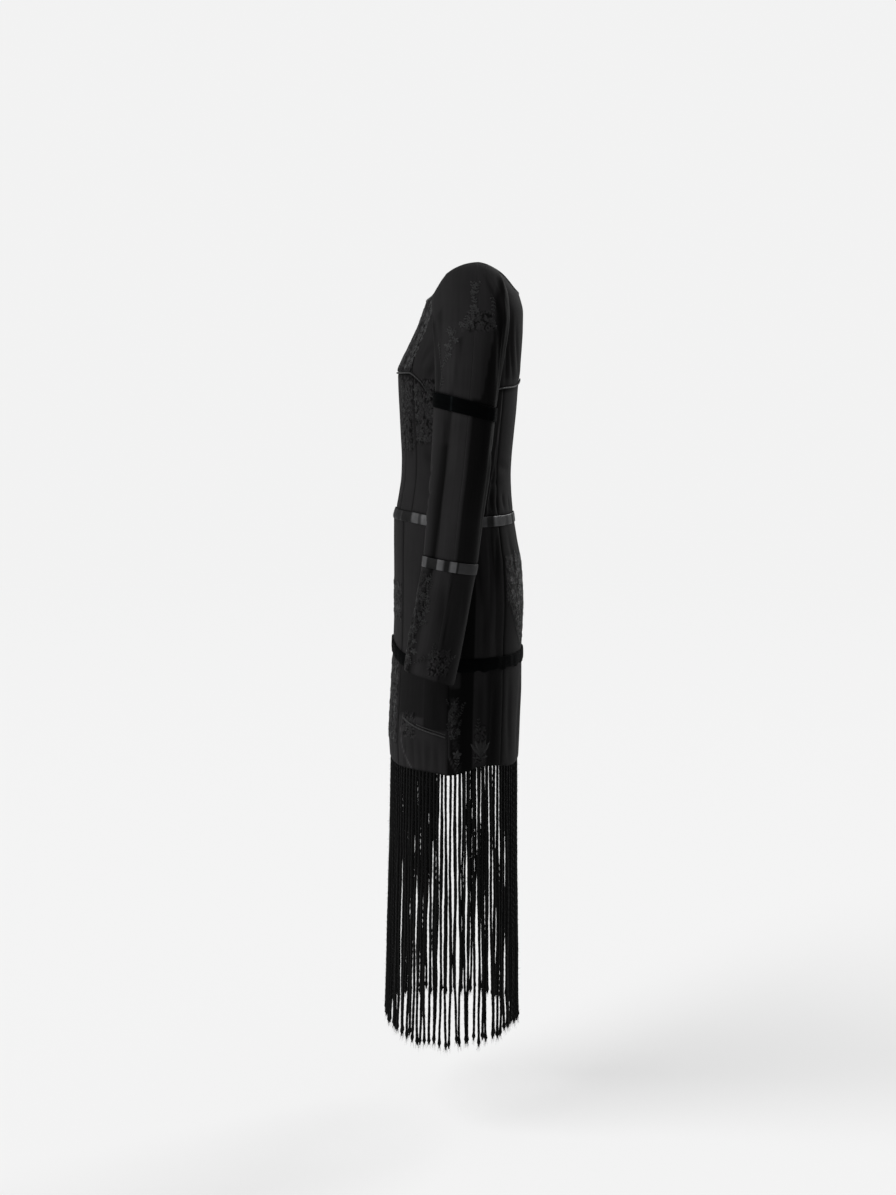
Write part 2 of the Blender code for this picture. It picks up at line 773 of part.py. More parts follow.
def neck_frames():
    """Points of the neckline's left half, with their outward direction and the way into the neck opening."""
    strip_top = STRIP_SEAM[-1]
    front_turns = [blend(0, strip_top, i / WAIST_STRIP_COLUMNS) for i in range(WAIST_STRIP_COLUMNS + 1)]
    frames = []
    for turn in front_turns:
        frames.append(body_frame(turn, line_level(NECKLINE, turn)))
    first = SLEEVE_STRETCHES[0].steps
    last = SLEEVE_COLUMNS - SLEEVE_STRETCHES[-1].steps
    for column in range(first, last + 1):
        point, outward = sleeve_frame(head_point, column, 0)
        frames.append((point, outward, (point - head_point(column, EDGE_STEP)).normalized()))
    back = ARMHOLE_BACK[-1].turn
    for index in range(1, QUARTER_COLUMNS + 1):
        turn = blend(back, BACK_TURN, index / QUARTER_COLUMNS)
        frames.append(body_frame(turn, line_level(NECKLINE, turn)))
    return frames


def softened(frames):
    """The frames with each direction averaged over its neighbours, so that the binding turns evenly."""
    eased = []
    for index, (point, _, _) in enumerate(frames):
        near = frames[max(index - 1, 0):index + 2]
        outward = sum((frame[1] for frame in near), Vector()).normalized()
        inward = sum((frame[2] for frame in near), Vector()).normalized()
        eased.append((point, outward, inward))
    return eased


def make_binding(material):
    """The rolled binding, which sits on the cloth's edge round the neckline."""
    half = softened(neck_frames())
    frames = [(frame, LEFT) for frame in half]
    frames += [(frame, RIGHT) for frame in half[-2:0:-1]]
    mesh = hoop(len(frames), 1)

    def place(across, up, inside):
        index = round(across * len(frames)) % len(frames)
        (point, outward, inward), side = frames[index]
        moved = point + inward * (BINDING_CLEAR + BINDING_DEPTH * up)
        moved += outward * ((0.5 - inside) * BINDING_WIDTH - WALL / 2)
        return Vector((moved.x * side, moved.y, moved.z))

    bend(mesh, place)
    return make_object("neck_binding", mesh, material)


def strand_noise(index, salt):
    """A repeatable number between -1 and 1 for a strand."""
    first, second, spread = SCATTER
    return 2 * math.modf(abs(math.sin(index * first + salt * second)) * spread)[0] - 1


def tape_share(across, strands):
    """Even share along the tape for a lattice column, with strands and gaps taking turns."""
    column = round(across * (2 * strands + 1))
    pair, odd = divmod(column, 2)
    if pair > strands - 1 and odd:
        return 1.0
    if column == 0:
        return 0.0
    start = pair + (1 - STRAND_SHARE) / 2 if odd else pair - 1 + (1 + STRAND_SHARE) / 2
    return start / strands


def fringe(name, turns, strands, material):
    """A tape inside the hem with strands drawn out of its lower edge."""
    mesh = slab(2 * strands + 1, 1)
    roots = [
        face for face in mesh.faces
        if all(vert.co.y < ONE_POINT for vert in face.verts)
        and round(face.calc_center_median().x * (2 * strands + 1) - 0.5) % 2 == 1
    ]
    roots.sort(key=lambda face: face.calc_center_median().x)

    def place(across, up, inside):
        turn = blend(turns[0], turns[1], tape_share(across, strands))
        half_turn, side = full_turn((turn % 360.0) / 360.0)
        level = line_level(HEM, half_turn) + blend(TAPE_BOTTOM, TAPE_TOP, up)
        depth = WALL + TAPE_SETBACK + TAPE_THICKNESS * inside
        point = body_shell(half_turn, level, -depth)
        return Vector((point.x * side, point.y, point.z))

    bend(mesh, place)
    for number, face in enumerate(roots):
        turn, _ = full_turn(blend(*turns, (number + 0.5) / strands) % 360.0 / 360.0)
        hang_strand(mesh, face, number + round(turns[0]), line_level(FRINGE_ENDS, turn))
    return make_object(name, mesh, material)


def hang_strand(mesh, face, number, end):
    """Draw one strand down from its root in the tape to about an end level."""
    root = face.calc_center_median()
    bottom = end + FRINGE_UNEVEN * strand_noise(number, 1)
    sideways = Vector((-root.y, root.x, 0.0)).normalized()
    flare = FRINGE_FLARE_FRONT if root.y < 0 else FRINGE_FLARE_BACK
    forward = -flare * root.y / BODY[-1].back
    done = Vector((0.0, 0.0, 0.0))
    for step in range(1, STRAND_STEPS + 1):
        share = step / STRAND_STEPS
        face = bmesh.ops.extrude_discrete_faces(mesh, faces=[face])["faces"][0]
        aim = sideways * FRINGE_SWAY * strand_noise(number, 2 + step) * share
        aim += Vector((0.0, -forward * share, (bottom - root.z) * share))
        bmesh.ops.translate(mesh, verts=face.verts[:], vec=aim - done)
        done = aim


def main():
    """Build every piece of the dress."""
    clear_scene()
    crepe = finish("black_crepe", (0.020, 0.019, 0.020), 0.78)
    lace = finish("floral_lace", (0.014, 0.014, 0.015), 0.62)
    sleeve_crepe = finish("sleeve_crepe", (0.022, 0.021, 0.022), 0.78)
    satin = finish("satin_ribbon", (0.035, 0.035, 0.038), 0.30)
    velvet = finish("velvet_ribbon", (0.004, 0.005, 0.005), 0.95)
    cord = finish("piping_cord", (0.025, 0.025, 0.026), 0.45)
    yarn = finish("fringe_yarn", (0.010, 0.010, 0.010), 0.90)
    make_yoke(crepe, lace)
    make_waist(crepe, lace)
    make_skirt(crepe)
    for word, side in SIDES.items():
        make_sleeve(word, side, sleeve_crepe)
        arm_band("velvet_arm_" + word, BAND_LEVEL, VELVET_WIDTH, velvet, side)
        arm_band("satin_arm_" + word, SATIN_ARM_LEVEL, SATIN_WIDTH, satin, side)
    make_ribbons(satin, velvet, cord)
    make_binding(cord)
    strands = FRINGE_STRANDS // 2
    fringe("fringe_front", FRONT_TAPE_TURNS, strands, yarn)
    fringe("fringe_back", BACK_TAPE_TURNS, strands, yarn)


main()
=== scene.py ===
# %% [markdown]
# # A patchwork dress with a deep fringe
#
# The dress is black and fitted. It has long sleeves, a wide neckline, satin and velvet ribbons sewn round it,
# patches of floral lace, and a long yarn fringe under its hem. The frame already holds every piece as a plain solid
# of the right size. The cells below give each of them its real surface, and never move one.

# %% The frame
import math
from collections import namedtuple

import bmesh
import bpy
import numpy as np
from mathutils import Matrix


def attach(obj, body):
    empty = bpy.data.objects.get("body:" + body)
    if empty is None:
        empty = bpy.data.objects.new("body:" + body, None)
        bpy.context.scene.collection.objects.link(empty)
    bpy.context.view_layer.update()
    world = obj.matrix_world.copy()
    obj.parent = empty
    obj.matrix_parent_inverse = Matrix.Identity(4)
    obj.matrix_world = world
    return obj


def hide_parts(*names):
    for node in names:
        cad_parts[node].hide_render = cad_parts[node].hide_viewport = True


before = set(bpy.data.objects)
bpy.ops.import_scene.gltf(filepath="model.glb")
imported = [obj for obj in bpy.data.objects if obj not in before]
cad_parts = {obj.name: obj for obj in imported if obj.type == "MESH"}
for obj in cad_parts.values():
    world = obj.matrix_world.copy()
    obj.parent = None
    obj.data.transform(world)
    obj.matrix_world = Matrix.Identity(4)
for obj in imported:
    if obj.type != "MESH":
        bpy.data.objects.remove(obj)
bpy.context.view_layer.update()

print("nodes in the frame:", len(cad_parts))


def add_object(name, data):
    """An object in the scene's own collection."""
    made = bpy.data.objects.new(name, data)
    bpy.context.scene.collection.objects.link(made)
    return made


# %% [markdown]
# ## Camera, light and floor
#
# A long lens looks at the wearer's left side from chest height, tilted a little down. The studio is white, but its
# light is not even: a wide sun in front of the dress and above it gives black cloth its form, and a weak sky fills
# the shadows. The camera sees that sky at full strength, so the far end of the floor melts into it.

# %% Camera
IMAGE_HEIGHT = 1195
EYE = (3.6, -0.0189, -0.226)
TILT_DOWN = 5.39
FOCAL_PIXELS = 2093
SENSOR = 36.0

camera_data = bpy.data.cameras.new("camera")
camera_data.sensor_fit = "VERTICAL"
camera_data.sensor_height = SENSOR
camera_data.lens = FOCAL_PIXELS / IMAGE_HEIGHT * SENSOR
camera = add_object("camera", camera_data)
camera.location = EYE
camera.rotation_euler = (math.radians(90 - TILT_DOWN), 0.0, math.radians(90))
bpy.context.scene.camera = camera
bpy.context.scene.view_settings.view_transform = "Standard"
print("lens:", round(camera_data.lens, 1), "mm")

# %% Sky and suns
SKY_LIGHT = 0.27
SKY_SEEN = 0.89
world = bpy.data.worlds.new("studio")
bpy.context.scene.world = world
world.use_nodes = True
sky = world.node_tree
lit, seen = sky.nodes["Background"], sky.nodes.new("ShaderNodeBackground")
chosen, path_kind = sky.nodes.new("ShaderNodeMixShader"), sky.nodes.new("ShaderNodeLightPath")
for background, strength in ((lit, SKY_LIGHT), (seen, SKY_SEEN)):
    background.inputs["Color"].default_value = (1.0, 1.0, 1.0, 1.0)
    background.inputs["Strength"].default_value = strength
sky.links.new(path_kind.outputs["Is Camera Ray"], chosen.inputs[0])
sky.links.new(lit.outputs[0], chosen.inputs[1])
sky.links.new(seen.outputs[0], chosen.inputs[2])
sky.links.new(chosen.outputs[0], sky.nodes["World Output"].inputs["Surface"])


def add_sun(name, strength, spread, place):
    """A sun with soft shadows that shines from a place to the dress."""
    data = bpy.data.lights.new(name, "SUN")
    data.energy = strength
    data.angle = math.radians(spread)
    x, y, z = place
    lamp = add_object(name, data)
    lamp.location = place
    lamp.rotation_euler = (math.atan2(math.hypot(x, y), z), 0.0, math.atan2(y, x) + math.pi / 2)


add_sun("sun", 3.0, 46, (1.6, -3.2, 2.9))
add_sun("far_sun", 1.9, 30, (-2.7, 2.2, 1.7))

# %% Floor
FLOOR_LEVEL = -1.462
FLOOR_RADIUS = 60.0
floor_mesh = bmesh.new()
bmesh.ops.create_circle(floor_mesh, cap_ends=True, segments=96, radius=FLOOR_RADIUS)
bmesh.ops.translate(floor_mesh, verts=floor_mesh.verts, vec=(0, 0, FLOOR_LEVEL))
floor_data = bpy.data.meshes.new("floor")
floor_mesh.to_mesh(floor_data)
floor_mesh.free()
add_object("floor", floor_data)

# %% [markdown]
# ## Finishes as expressions
#
# A node tree is long to write by hand. Here a small class wraps a socket, so that a sum or a product of two values
# is written as plain maths and adds its own Math node. All other nodes come from one method.

# %% A wrapped socket


class Wire:
    """One value in a material, which takes part in plain maths."""

    def __init__(self, finish, socket):
        self.finish = finish
        self.socket = socket

    def maths(self, operation, *others):
        return self.finish.node("Math", operation=operation, ins=dict(enumerate((self, *others))))

    def after(self, operation, first):
        return self.finish.node("Math", operation=operation, ins={0: first, 1: self})

    def __add__(self, other):
        return self.maths("ADD", other)

    def __radd__(self, other):
        return self.after("ADD", other)

    def __sub__(self, other):
        return self.maths("SUBTRACT", other)

    def __rsub__(self, other):
        return self.after("SUBTRACT", other)

    def __mul__(self, other):
        return self.maths("MULTIPLY", other)

    def __truediv__(self, other):
        return self.maths("DIVIDE", other)

    def sine(self):
        return self.maths("SINE")

    def size(self):
        return self.maths("ABSOLUTE")

    def limited(self):
        return self.finish.node("Clamp", ins={0: self})

    def highest(self, other):
        return self.maths("MAXIMUM", other)


# %% A finish


class Finish:
    """A material of one Principled shader. Constants sit on its sockets, and wires feed what varies."""

    def __init__(self, name, colour, roughness, **fixed):
        self.material = bpy.data.materials.new(name)
        self.material.use_nodes = True
        self.material.diffuse_color = (*colour, 1.0)
        self.tree = self.material.node_tree
        self.shader = self.tree.nodes["Principled BSDF"]
        self.feed(self.shader.inputs["Base Color"], (*colour, 1.0))
        self.feed(self.shader.inputs["Roughness"], roughness)
        for socket, value in fixed.items():
            self.feed(self.shader.inputs[socket.replace("_", " ")], value)

    def feed(self, socket, value):
        if isinstance(value, Wire):
            self.tree.links.new(value.socket, socket)
        else:
            socket.default_value = value

    def node(self, kind, ins=None, out=0, **settings):
        made = self.tree.nodes.new("ShaderNode" + kind)
        for name, value in settings.items():
            setattr(made, name, value)
        for name, value in (ins or {}).items():
            self.feed(made.inputs[name], value)
        return Wire(self, made.outputs[out])

    def mask(self, name):
        return self.node("Attribute", out="Fac", attribute_name=name)

    def cloth_map(self):
        return self.node("UVMap", uv_map="Cloth")

    def scaled(self, vector, across, up, deep=1.0):
        return self.node("VectorMath", operation="MULTIPLY", ins={0: vector, 1: (across, up, deep)})

    def parts(self, vector):
        first = self.node("SeparateXYZ", ins={0: vector})
        return [Wire(self, output) for output in first.socket.node.outputs]

    def noise(self, vector, scale, detail=2.0, dimensions="2D"):
        ins = {"Vector": vector, "Scale": scale, "Detail": detail}
        return self.node("TexNoise", ins=ins, noise_dimensions=dimensions)

    def voronoi(self, vector, scale, randomness, **settings):
        ins = {"Vector": vector, "Scale": scale, "Randomness": randomness}
        return self.node("TexVoronoi", ins=ins, voronoi_dimensions="2D", **settings)

    def grey(self, value, tint=(1.0, 1.0, 1.0)):
        return self.node("CombineColor", ins={index: value * share for index, share in enumerate(tint)})

    def bump(self, height, depth):
        return self.node("Bump", ins={"Height": height, "Distance": depth})

    def show(self, **wires):
        for socket, wire in wires.items():
            self.feed(self.shader.inputs[socket.replace("_", " ")], wire)
        return self.material


FLOOR_FADE_START, FLOOR_FADE_LENGTH = 1.5, 9.0
FLOOR_GREY, FLOOR_GLOW = 0.40, 0.45


def floor_finish():
    """Pale floor that turns into the sky's own white with distance."""
    finish = Finish("pale_floor", (0.5, 0.5, 0.5), 0.8, Specular_IOR_Level=0.0, Emission_Strength=1.0)
    x, y, _ = finish.parts(finish.node("TexCoord", out="Object"))
    far = (((x * x + y * y).maths("SQRT") - FLOOR_FADE_START) / FLOOR_FADE_LENGTH).limited()
    near = 1.0 - far
    glow = finish.grey(near * FLOOR_GLOW + far * SKY_SEEN)
    return finish.show(Base_Color=finish.grey(near * FLOOR_GREY), Emission_Color=glow)


floor_data.materials.append(floor_finish())

# %% [markdown]
# ## Lace as maths
#
# The lace has small flowers with corded rims, leaves between them and a fine net behind. A Voronoi texture gives
# the place of each flower. The angle round that place, sent through a sine, draws its five petals.

# %% Lace height
FLOWERS_A_METRE = 58.0
PETAL_INNER = 0.0026
PETAL_OUTER = 0.0040
RIM_WIDTH = 0.0006
NET_A_METRE = 560.0


def flowers(finish, cloth, a_metre, size):
    """Height of five-petalled flowers on the cloth, from 0 to 1."""
    place = finish.voronoi(cloth, a_metre, 0.75, out="Position")
    shade = Wire(finish, place.socket.node.outputs["Color"])
    away = finish.node("VectorMath", operation="SUBTRACT", ins={0: cloth, 1: place})
    x, y, _ = finish.parts(away)
    turned = finish.parts(shade)[0]
    angle = y.maths("ARCTAN2", x)
    radius = (x * x + y * y).maths("SQRT")
    petals = (angle * 2.5 + turned * 6.3).sine().size()
    edge = (petals * PETAL_OUTER + PETAL_INNER) * size
    body = ((edge - radius) / RIM_WIDTH).limited()
    rim = (1.0 - (edge - radius).size() / RIM_WIDTH).limited()
    heart = (1.0 - radius / (0.0014 * size)).limited()
    veins = (angle * 22.0).sine() * 0.12
    return (body * (0.62 + veins) + rim * 0.38 + heart * 0.4).limited()


def leaves(finish, cloth, a_metre, slant):
    """Height of small slanting leaves on the cloth, from 0 to 1."""
    turned = finish.node("VectorRotate", rotation_type="Z_AXIS", ins={"Vector": cloth, "Angle": slant})
    near = finish.voronoi(finish.scaled(turned, 1.0, 0.42), a_metre, 0.9)
    return ((0.30 - near) / 0.10).limited()


def net(finish, cloth):
    """Height of the fine net behind the flowers, from 0 to 1."""
    edge = finish.voronoi(cloth, NET_A_METRE, 0.4, feature="DISTANCE_TO_EDGE")
    return (1.0 - edge / 0.16).limited()


def lace_height(finish, cloth):
    """Height of the whole lace, from 0 in a mesh of the net to 1 on a rim."""
    blooms = flowers(finish, cloth, FLOWERS_A_METRE, 1.0)
    small = flowers(finish, cloth, FLOWERS_A_METRE * 1.9, 0.45) * 0.85
    foliage = leaves(finish, cloth, 150.0, 0.7).highest(leaves(finish, cloth, 190.0, -0.5)) * 0.6
    return blooms.highest(small).highest(foliage).highest(net(finish, cloth) * 0.3)


# %% [markdown]
# ## Crepe, with lace let into it
#
# One finish serves all the cloth. Each piece carries masks on its points: where lace lies, and how light it is. That
# lightness holds each strip's own black, and also painted shade in creases, seams and shadowed places and painted
# highlights along the piping. So the edge between two strips can run anywhere, and not only along a row of faces.

# %% Patchwork cloth
CREPE_TINT = (1.0, 0.965, 1.0)
CREPE_GREY = 0.0122
LACE_GREY = 0.034
LACE_GROUND = 0.0016


def patchwork(name, roughness, grey):
    """Matt crepe with a pebbled weave, and floral lace where the mask asks for it."""
    fixed = {"Specular_IOR_Level": 0.035, "Sheen_Weight": 0.008, "Sheen_Roughness": 0.5}
    finish = Finish(name, (grey, grey, grey), roughness, **fixed)
    cloth = finish.cloth_map()
    lace = finish.mask("lace")
    tone = finish.mask("tone")
    threads = finish.noise(finish.scaled(cloth, 1500.0, 420.0), 1.0, 1.0)
    pebbles = finish.noise(cloth, 900.0, 2.0)
    cloudy = finish.noise(cloth, 16.0, 3.0)
    streaks = finish.noise(finish.scaled(cloth, 260.0, 9.0), 1.0, 2.0)
    weave = threads * 0.6 + pebbles * 0.6
    raised = lace_height(finish, cloth)
    # The lightness mask scales the colour: each strip's own black, with painted shade and painted highlights in it.
    plain = (cloudy * 0.5 + streaks * 0.35 + weave * 0.25 + 0.42) * tone * grey
    worked = (raised * LACE_GREY + LACE_GROUND) * (tone * 0.8 + 0.2)
    value = plain * (1.0 - lace) + worked * lace
    height = weave * 0.06 * (1.0 - lace) + raised * lace
    fine = finish.bump(height, 0.0030)
    rough = roughness + (cloudy - 0.5) * 0.10 - raised * lace * 0.22
    return finish.show(Base_Color=finish.grey(value, CREPE_TINT), Roughness=rough, Normal=fine)


crepe = patchwork("patchwork_crepe", 0.74, CREPE_GREY)
sleeve_crepe = patchwork("sleeve_crepe", 0.70, CREPE_GREY * 1.08)

# %% [markdown]
# ## Satin, velvet, piping and yarn
#
# Satin is smooth across its floats, so its light runs along the ribbon. Its bright and dull stretches over folds are
# painted into its colour, as painted reflections and painted shade. Velvet swallows light but for a faint glow at
# its edges. Piping and yarn show the slant of their twist.

# %% Ribbons and trims


def satin_finish():
    """Ribbon satin with fine floats. Bright and dull stretches over folds are painted into its colour: painted
    reflections and painted shade.
    """
    finish = Finish("satin_ribbon", (0.03, 0.03, 0.03), 0.34, Specular_IOR_Level=0.10, Anisotropic=0.45)
    cloth = finish.cloth_map()
    tone = finish.mask("tone")
    floats = finish.noise(finish.scaled(cloth, 120.0, 2400.0), 1.0, 1.0)
    cloudy = finish.noise(cloth, 90.0, 2.0)
    value = (cloudy * 0.5 + 0.75) * tone * 0.0112
    rough = 0.60 - tone * 0.05 + (cloudy - 0.5) * 0.12
    normal = finish.bump(floats * 0.12 + cloudy * 0.5, 0.0006)
    return finish.show(Base_Color=finish.grey(value, (1.0, 1.0, 1.03)), Roughness=rough, Normal=normal)


def velvet_finish():
    """Deep pile, almost without light, and a little green-blue."""
    fixed = {"Specular_IOR_Level": 0.02, "Sheen_Weight": 0.012, "Sheen_Roughness": 0.30}
    finish = Finish("velvet_ribbon", (0.002, 0.0024, 0.0026), 0.95, **fixed)
    cloth = finish.cloth_map()
    pile = finish.noise(cloth, 1300.0, 2.0)
    brushed = finish.noise(finish.scaled(cloth, 70.0, 200.0), 1.0, 2.0)
    value = (pile * 0.8 + brushed) * finish.mask("tone") * 0.0012
    normal = finish.bump(pile * 0.4 + brushed * 0.6, 0.0010)
    return finish.show(Base_Color=finish.grey(value, (0.8, 1.0, 1.06)), Normal=normal)


def twisted_finish(name, grey, roughness, turns_a_metre, sheen):
    """Yarn or piping, with ridges that run slanting round it."""
    fixed = {"Specular_IOR_Level": 0.08, "Sheen_Weight": sheen, "Sheen_Roughness": 0.4}
    finish = Finish(name, (grey, grey, grey), roughness, **fixed)
    around, along, _ = finish.parts(finish.cloth_map())
    fuzz = finish.noise(finish.scaled(finish.cloth_map(), 14.0, 700.0), 1.0, 3.0)
    ridge = (around * 2.0 * math.pi + along * 2.0 * math.pi * turns_a_metre).sine() * 0.5 + 0.5
    value = (ridge * 0.7 + fuzz * 0.6 + 0.2) * grey
    normal = finish.bump(ridge * 0.7 + fuzz * 0.5, 0.0008)
    return finish.show(Base_Color=finish.grey(value), Normal=normal)


def thread_finish():
    """Embroidery thread: glossy stitches that run across each petal, lighter or darker per spray by painted light
    and shade.
    """
    finish = Finish("raised_thread", (0.024, 0.024, 0.025), 0.46, Specular_IOR_Level=0.18)
    across, along, _ = finish.parts(finish.cloth_map())
    stitches = ((along + across.size() * 0.8) * 2.0 * math.pi * 1500.0).sine() * 0.5 + 0.5
    soft = finish.noise(finish.cloth_map(), 700.0, 2.0)
    value = (stitches * 0.6 + soft + 0.2) * finish.mask("tone") * 0.021
    normal = finish.bump(stitches * 0.6 + soft * 0.4, 0.0004)
    return finish.show(Base_Color=finish.grey(value, (1.0, 1.0, 1.02)), Normal=normal)


satin = satin_finish()
raised_thread = thread_finish()
velvet = velvet_finish()
piping = twisted_finish("piping_cord", 0.032, 0.45, 260.0, 0.02)
yarn = twisted_finish("fringe_yarn", 0.0036, 0.9, 210.0, 0.02)

# %% [markdown]
# ## The form of the dress
#
# The cloth must lie on the solids of the frame, so its form comes from the same sizes: a stack of ovals down the
# body, a stack of rings down the arm, and lines round them for the seams. A reader object turns each table into a
# smooth curve, and reads it for thousands of points at once.

# %% Tables
MILLIMETRE = 0.001


def table(columns, *rows):
    """Rows with named columns. The columns named in mm are turned into metres."""
    names = columns.split()
    units = [MILLIMETRE if name.endswith("_mm") else 1.0 for name in names]
    Row = namedtuple("Row", [name.removesuffix("_mm") for name in names])
    return [Row(*np.multiply(row, units)) for row in rows]


def smooth_way(share, start, leaving, end, arriving):
    """A smooth way from start to end that leaves and arrives at given rates."""
    square = share * share
    cube = square * share
    return (
        (2 * cube - 3 * square + 1) * start
        + (cube - 2 * square + share) * leaving
        + (3 * square - 2 * cube) * end
        + (cube - square) * arriving
    )


class Reader:
    """Rows of a table as smooth curves over its first column, which never overshoot."""

    def __init__(self, rows):
        values = np.array(sorted(tuple(row) for row in rows), dtype=float)
        self.places, self.values = values[:, 0], values[:, 1:]
        rises = np.diff(self.values, axis=0) / np.diff(self.places)[:, None]
        before, after = rises[:-1], rises[1:]
        same_way = before * after > 0
        total = np.where(same_way, before + after, 1.0)
        between = np.where(same_way, 2 * before * after / total, 0.0)
        self.slopes = np.vstack([rises[:1], between, rises[-1:]])

    def __call__(self, at):
        at = np.clip(at, self.places[0], self.places[-1])
        index = np.clip(np.searchsorted(self.places, at, side="left") - 1, 0, len(self.places) - 2)
        step = (self.places[index + 1] - self.places[index])[..., None]
        share = (at - self.places[index])[..., None] / step
        values, rates = self.values, step * self.slopes[index]
        found = smooth_way(share, values[index], rates, values[index + 1], step * self.slopes[index + 1])
        return np.moveaxis(found, -1, 0)


def steps(marks):
    """Marks at equal steps, read by their share of the way."""
    return Reader([(index / (len(marks) - 1), *mark) for index, mark in enumerate(marks)])


# %% Body sections
SECTION = "level_mm front_mm back_mm middle_mm half_width_mm fullness"
BODY = Reader(table(
    SECTION,
    (1, -18, 58, 30, 112, 2.5), (-13, -36.5, 76, 30, 136, 2.5), (-19, -40, 83, 30, 142, 2.5),
    (-32, -45.5, 92.5, 30, 147, 2.5), (-51.5, -52.8, 102.5, 29, 150, 2.5), (-80, -62.2, 108.8, 24, 150, 2.5),
    (-107.5, -72.8, 108.5, 17, 147, 2.45), (-134, -85.4, 107.2, 10, 142, 2.4),
    (-160, -98.2, 105.3, 4, 137, 2.4), (-177, -104.4, 104.3, 1, 134.5, 2.35),
    (-200, -104, 101.2, 0, 132.5, 2.3), (-243, -102, 98, -0.5, 128, 2.25), (-285, -100, 93.8, -1, 122, 2.2),
    (-326, -98.2, 90.1, -2, 119, 2.15), (-354, -99, 88.9, -3.5, 121, 2.15),
    (-381, -102.5, 89.8, -5.5, 127, 2.15), (-408, -107.5, 92, -7, 135, 2.15),
    (-425.5, -111.8, 94, -8, 141, 2.15), (-463, -112, 99.9, -10, 151, 2.15),
    (-500, -111.8, 106.5, -12, 159, 2.15), (-573, -111.6, 110.8, -14.5, 169, 2.15),
    (-640, -113.5, 108.2, -16, 172, 2.15), (-711, -117.5, 108.2, -18, 172, 2.15),
    (-766, -120.6, 106.2, -19, 171, 2.15), (-794, -121.8, 105.2, -19, 170.5, 2.15),
    (-850, -119.2, 102.8, -19, 169, 2.15),
))

# %% Lines round the body, from the centre front over the side to the centre back
MARK = "turn level_mm"
NECKLINE = Reader(table(
    MARK,
    (0, -59.6), (20, -58.4), (31, -55.3), (36, -51), (43, -32), (48, -19), (54, -12.5), (70, -3.5), (90, -0.8),
    (112, -3.5), (130, -11.8), (137, -19), (143, -31.5), (150, -42.5), (165, -46.5), (180, -47.5),
))
UNDERBUST = Reader(table(
    MARK,
    (0, -180), (40, -180.5), (53, -194), (65, -220), (90, -236), (115, -217), (130, -207), (152, -203),
    (180, -190),
))
WAIST_SEAM = Reader(table(
    MARK,
    (0, -409), (45, -412.5), (70, -418), (90, -420), (135, -419), (180, -415.5),
))
HIP_RIBBON = Reader(table(
    MARK,
    (0, -630), (15, -634.5), (40, -647.5), (60, -653), (90, -653), (135, -651.5), (180, -648),
))
HEM = Reader(table(
    MARK,
    (0, -835.7), (36, -840.8), (60, -841.3), (80, -844.3), (90, -847.3), (100, -844.3), (108, -838.3),
    (116, -834.8), (130, -836.3), (150, -843.3), (180, -840.8),
))
FRINGE_ENDS = Reader(table(
    MARK,
    (0, -1291), (30, -1296), (60, -1305), (90, -1309), (120, -1307), (150, -1302), (180, -1296),
))
ARMHOLE_FRONT = steps(table(
    MARK,
    (90, -200), (80, -192), (73, -175), (66, -150), (59, -121), (52, -94), (44, -71.5), (36, -51),
))
ARMHOLE_BACK = steps(table(
    MARK,
    (90, -200), (101, -191), (111, -172), (119, -147), (125, -118), (128, -88), (128.5, -61.5), (127.5, -37),
    (130, -11.8),
))
HIP_PIPING = steps(table(
    MARK,
    (45, -756), (54, -764), (63, -770), (72, -774.5), (81, -779), (88, -783),
))
STRIP_SEAM = steps(((45.0,), (40.0,), (37.5,), (36.0,), (31.0,)))
STRIP_LOW, STRIP_HIGH = 45.0, 31.0
SIDE_FRONT_TURN, WAIST_FRONT_TURN, SIDE_TURN, BACK_STRIP_TURN, BACK_TURN = 36.0, 45.0, 90.0, 135.0, 180.0
ARM_FRONT_TURN, ARM_BACK_TURN = 36.0, 130.0
UNDERARM_LEVEL = -0.2000
SIDE_SEAM_SHARE = 0.2

# %% Sleeve rings
RING = "level_mm out_mm middle_mm half_width_mm half_depth_mm tilt"
ARM = Reader(table(
    RING,
    (-226, 184, 10.5, 41.2, 51.2, 14.5), (-290, 194, 5, 41, 49.2, 13), (-340, 202, 0.5, 40.5, 47.5, 12),
    (-400, 211, -6.6, 39.5, 45.9, 10.5), (-483.5, 221, -15, 38.5, 44, 9.3), (-540, 226, -25, 38, 43.3, 10),
    (-600, 230, -36.2, 37.5, 43.2, 13), (-674, 233, -49.7, 36.5, 40.8, 17),
))
BAND_LEVEL, SATIN_ARM_LEVEL, CUFF_LEVEL = -0.2260, -0.4835, -0.6740
SLEEVE_FULLNESS = 2.1
COLUMN_ENDS = (0, 8, 11, 14, 22)
COLUMN_ANGLES = (180.0, 60.0, -6.0, -62.0, -180.0)
SLEEVE_COLUMNS = 22
SLEEVE_FRONT_COLUMNS = 11
HEAD_START, HEAD_END, RAISED_START = 0.80, 1.05, 0.0004
SLEEVE_A_DEGREE = 0.00079
LEAVING = "column out forward up"
HEAD_DIRECTIONS = Reader(table(
    LEAVING,
    (0, 0.45, 0, -1), (2, 0.75, 0.3, -0.7), (5, 1, 0.3, -0.15), (8, 1, 0.28, 0.05), (11, 1, 0, -0.1),
    (14, 1, -0.2, -0.02), (17, 1, -0.28, -0.1), (20, 0.75, -0.3, -0.7), (22, 0.45, 0, -1),
))

# %% Points of the form


def mix(first, second, share):
    """The value a share of the way from first to second."""
    return first + (second - first) * share


def unit(vectors):
    """Vectors of length one."""
    return vectors / np.maximum(np.linalg.norm(vectors, axis=-1, keepdims=True), 1e-12)


def oval(angle, fullness):
    """Sine and cosine of an angle, grown to a squarer oval."""
    sine, cosine = np.sin(angle), np.cos(angle)
    grow = (np.abs(sine) ** fullness + np.abs(cosine) ** fullness) ** (-1 / fullness)
    return sine * grow, cosine * grow


def level_at(line, turn):
    """Level of a line round the body, on either side."""
    return line(np.abs(turn))[0]


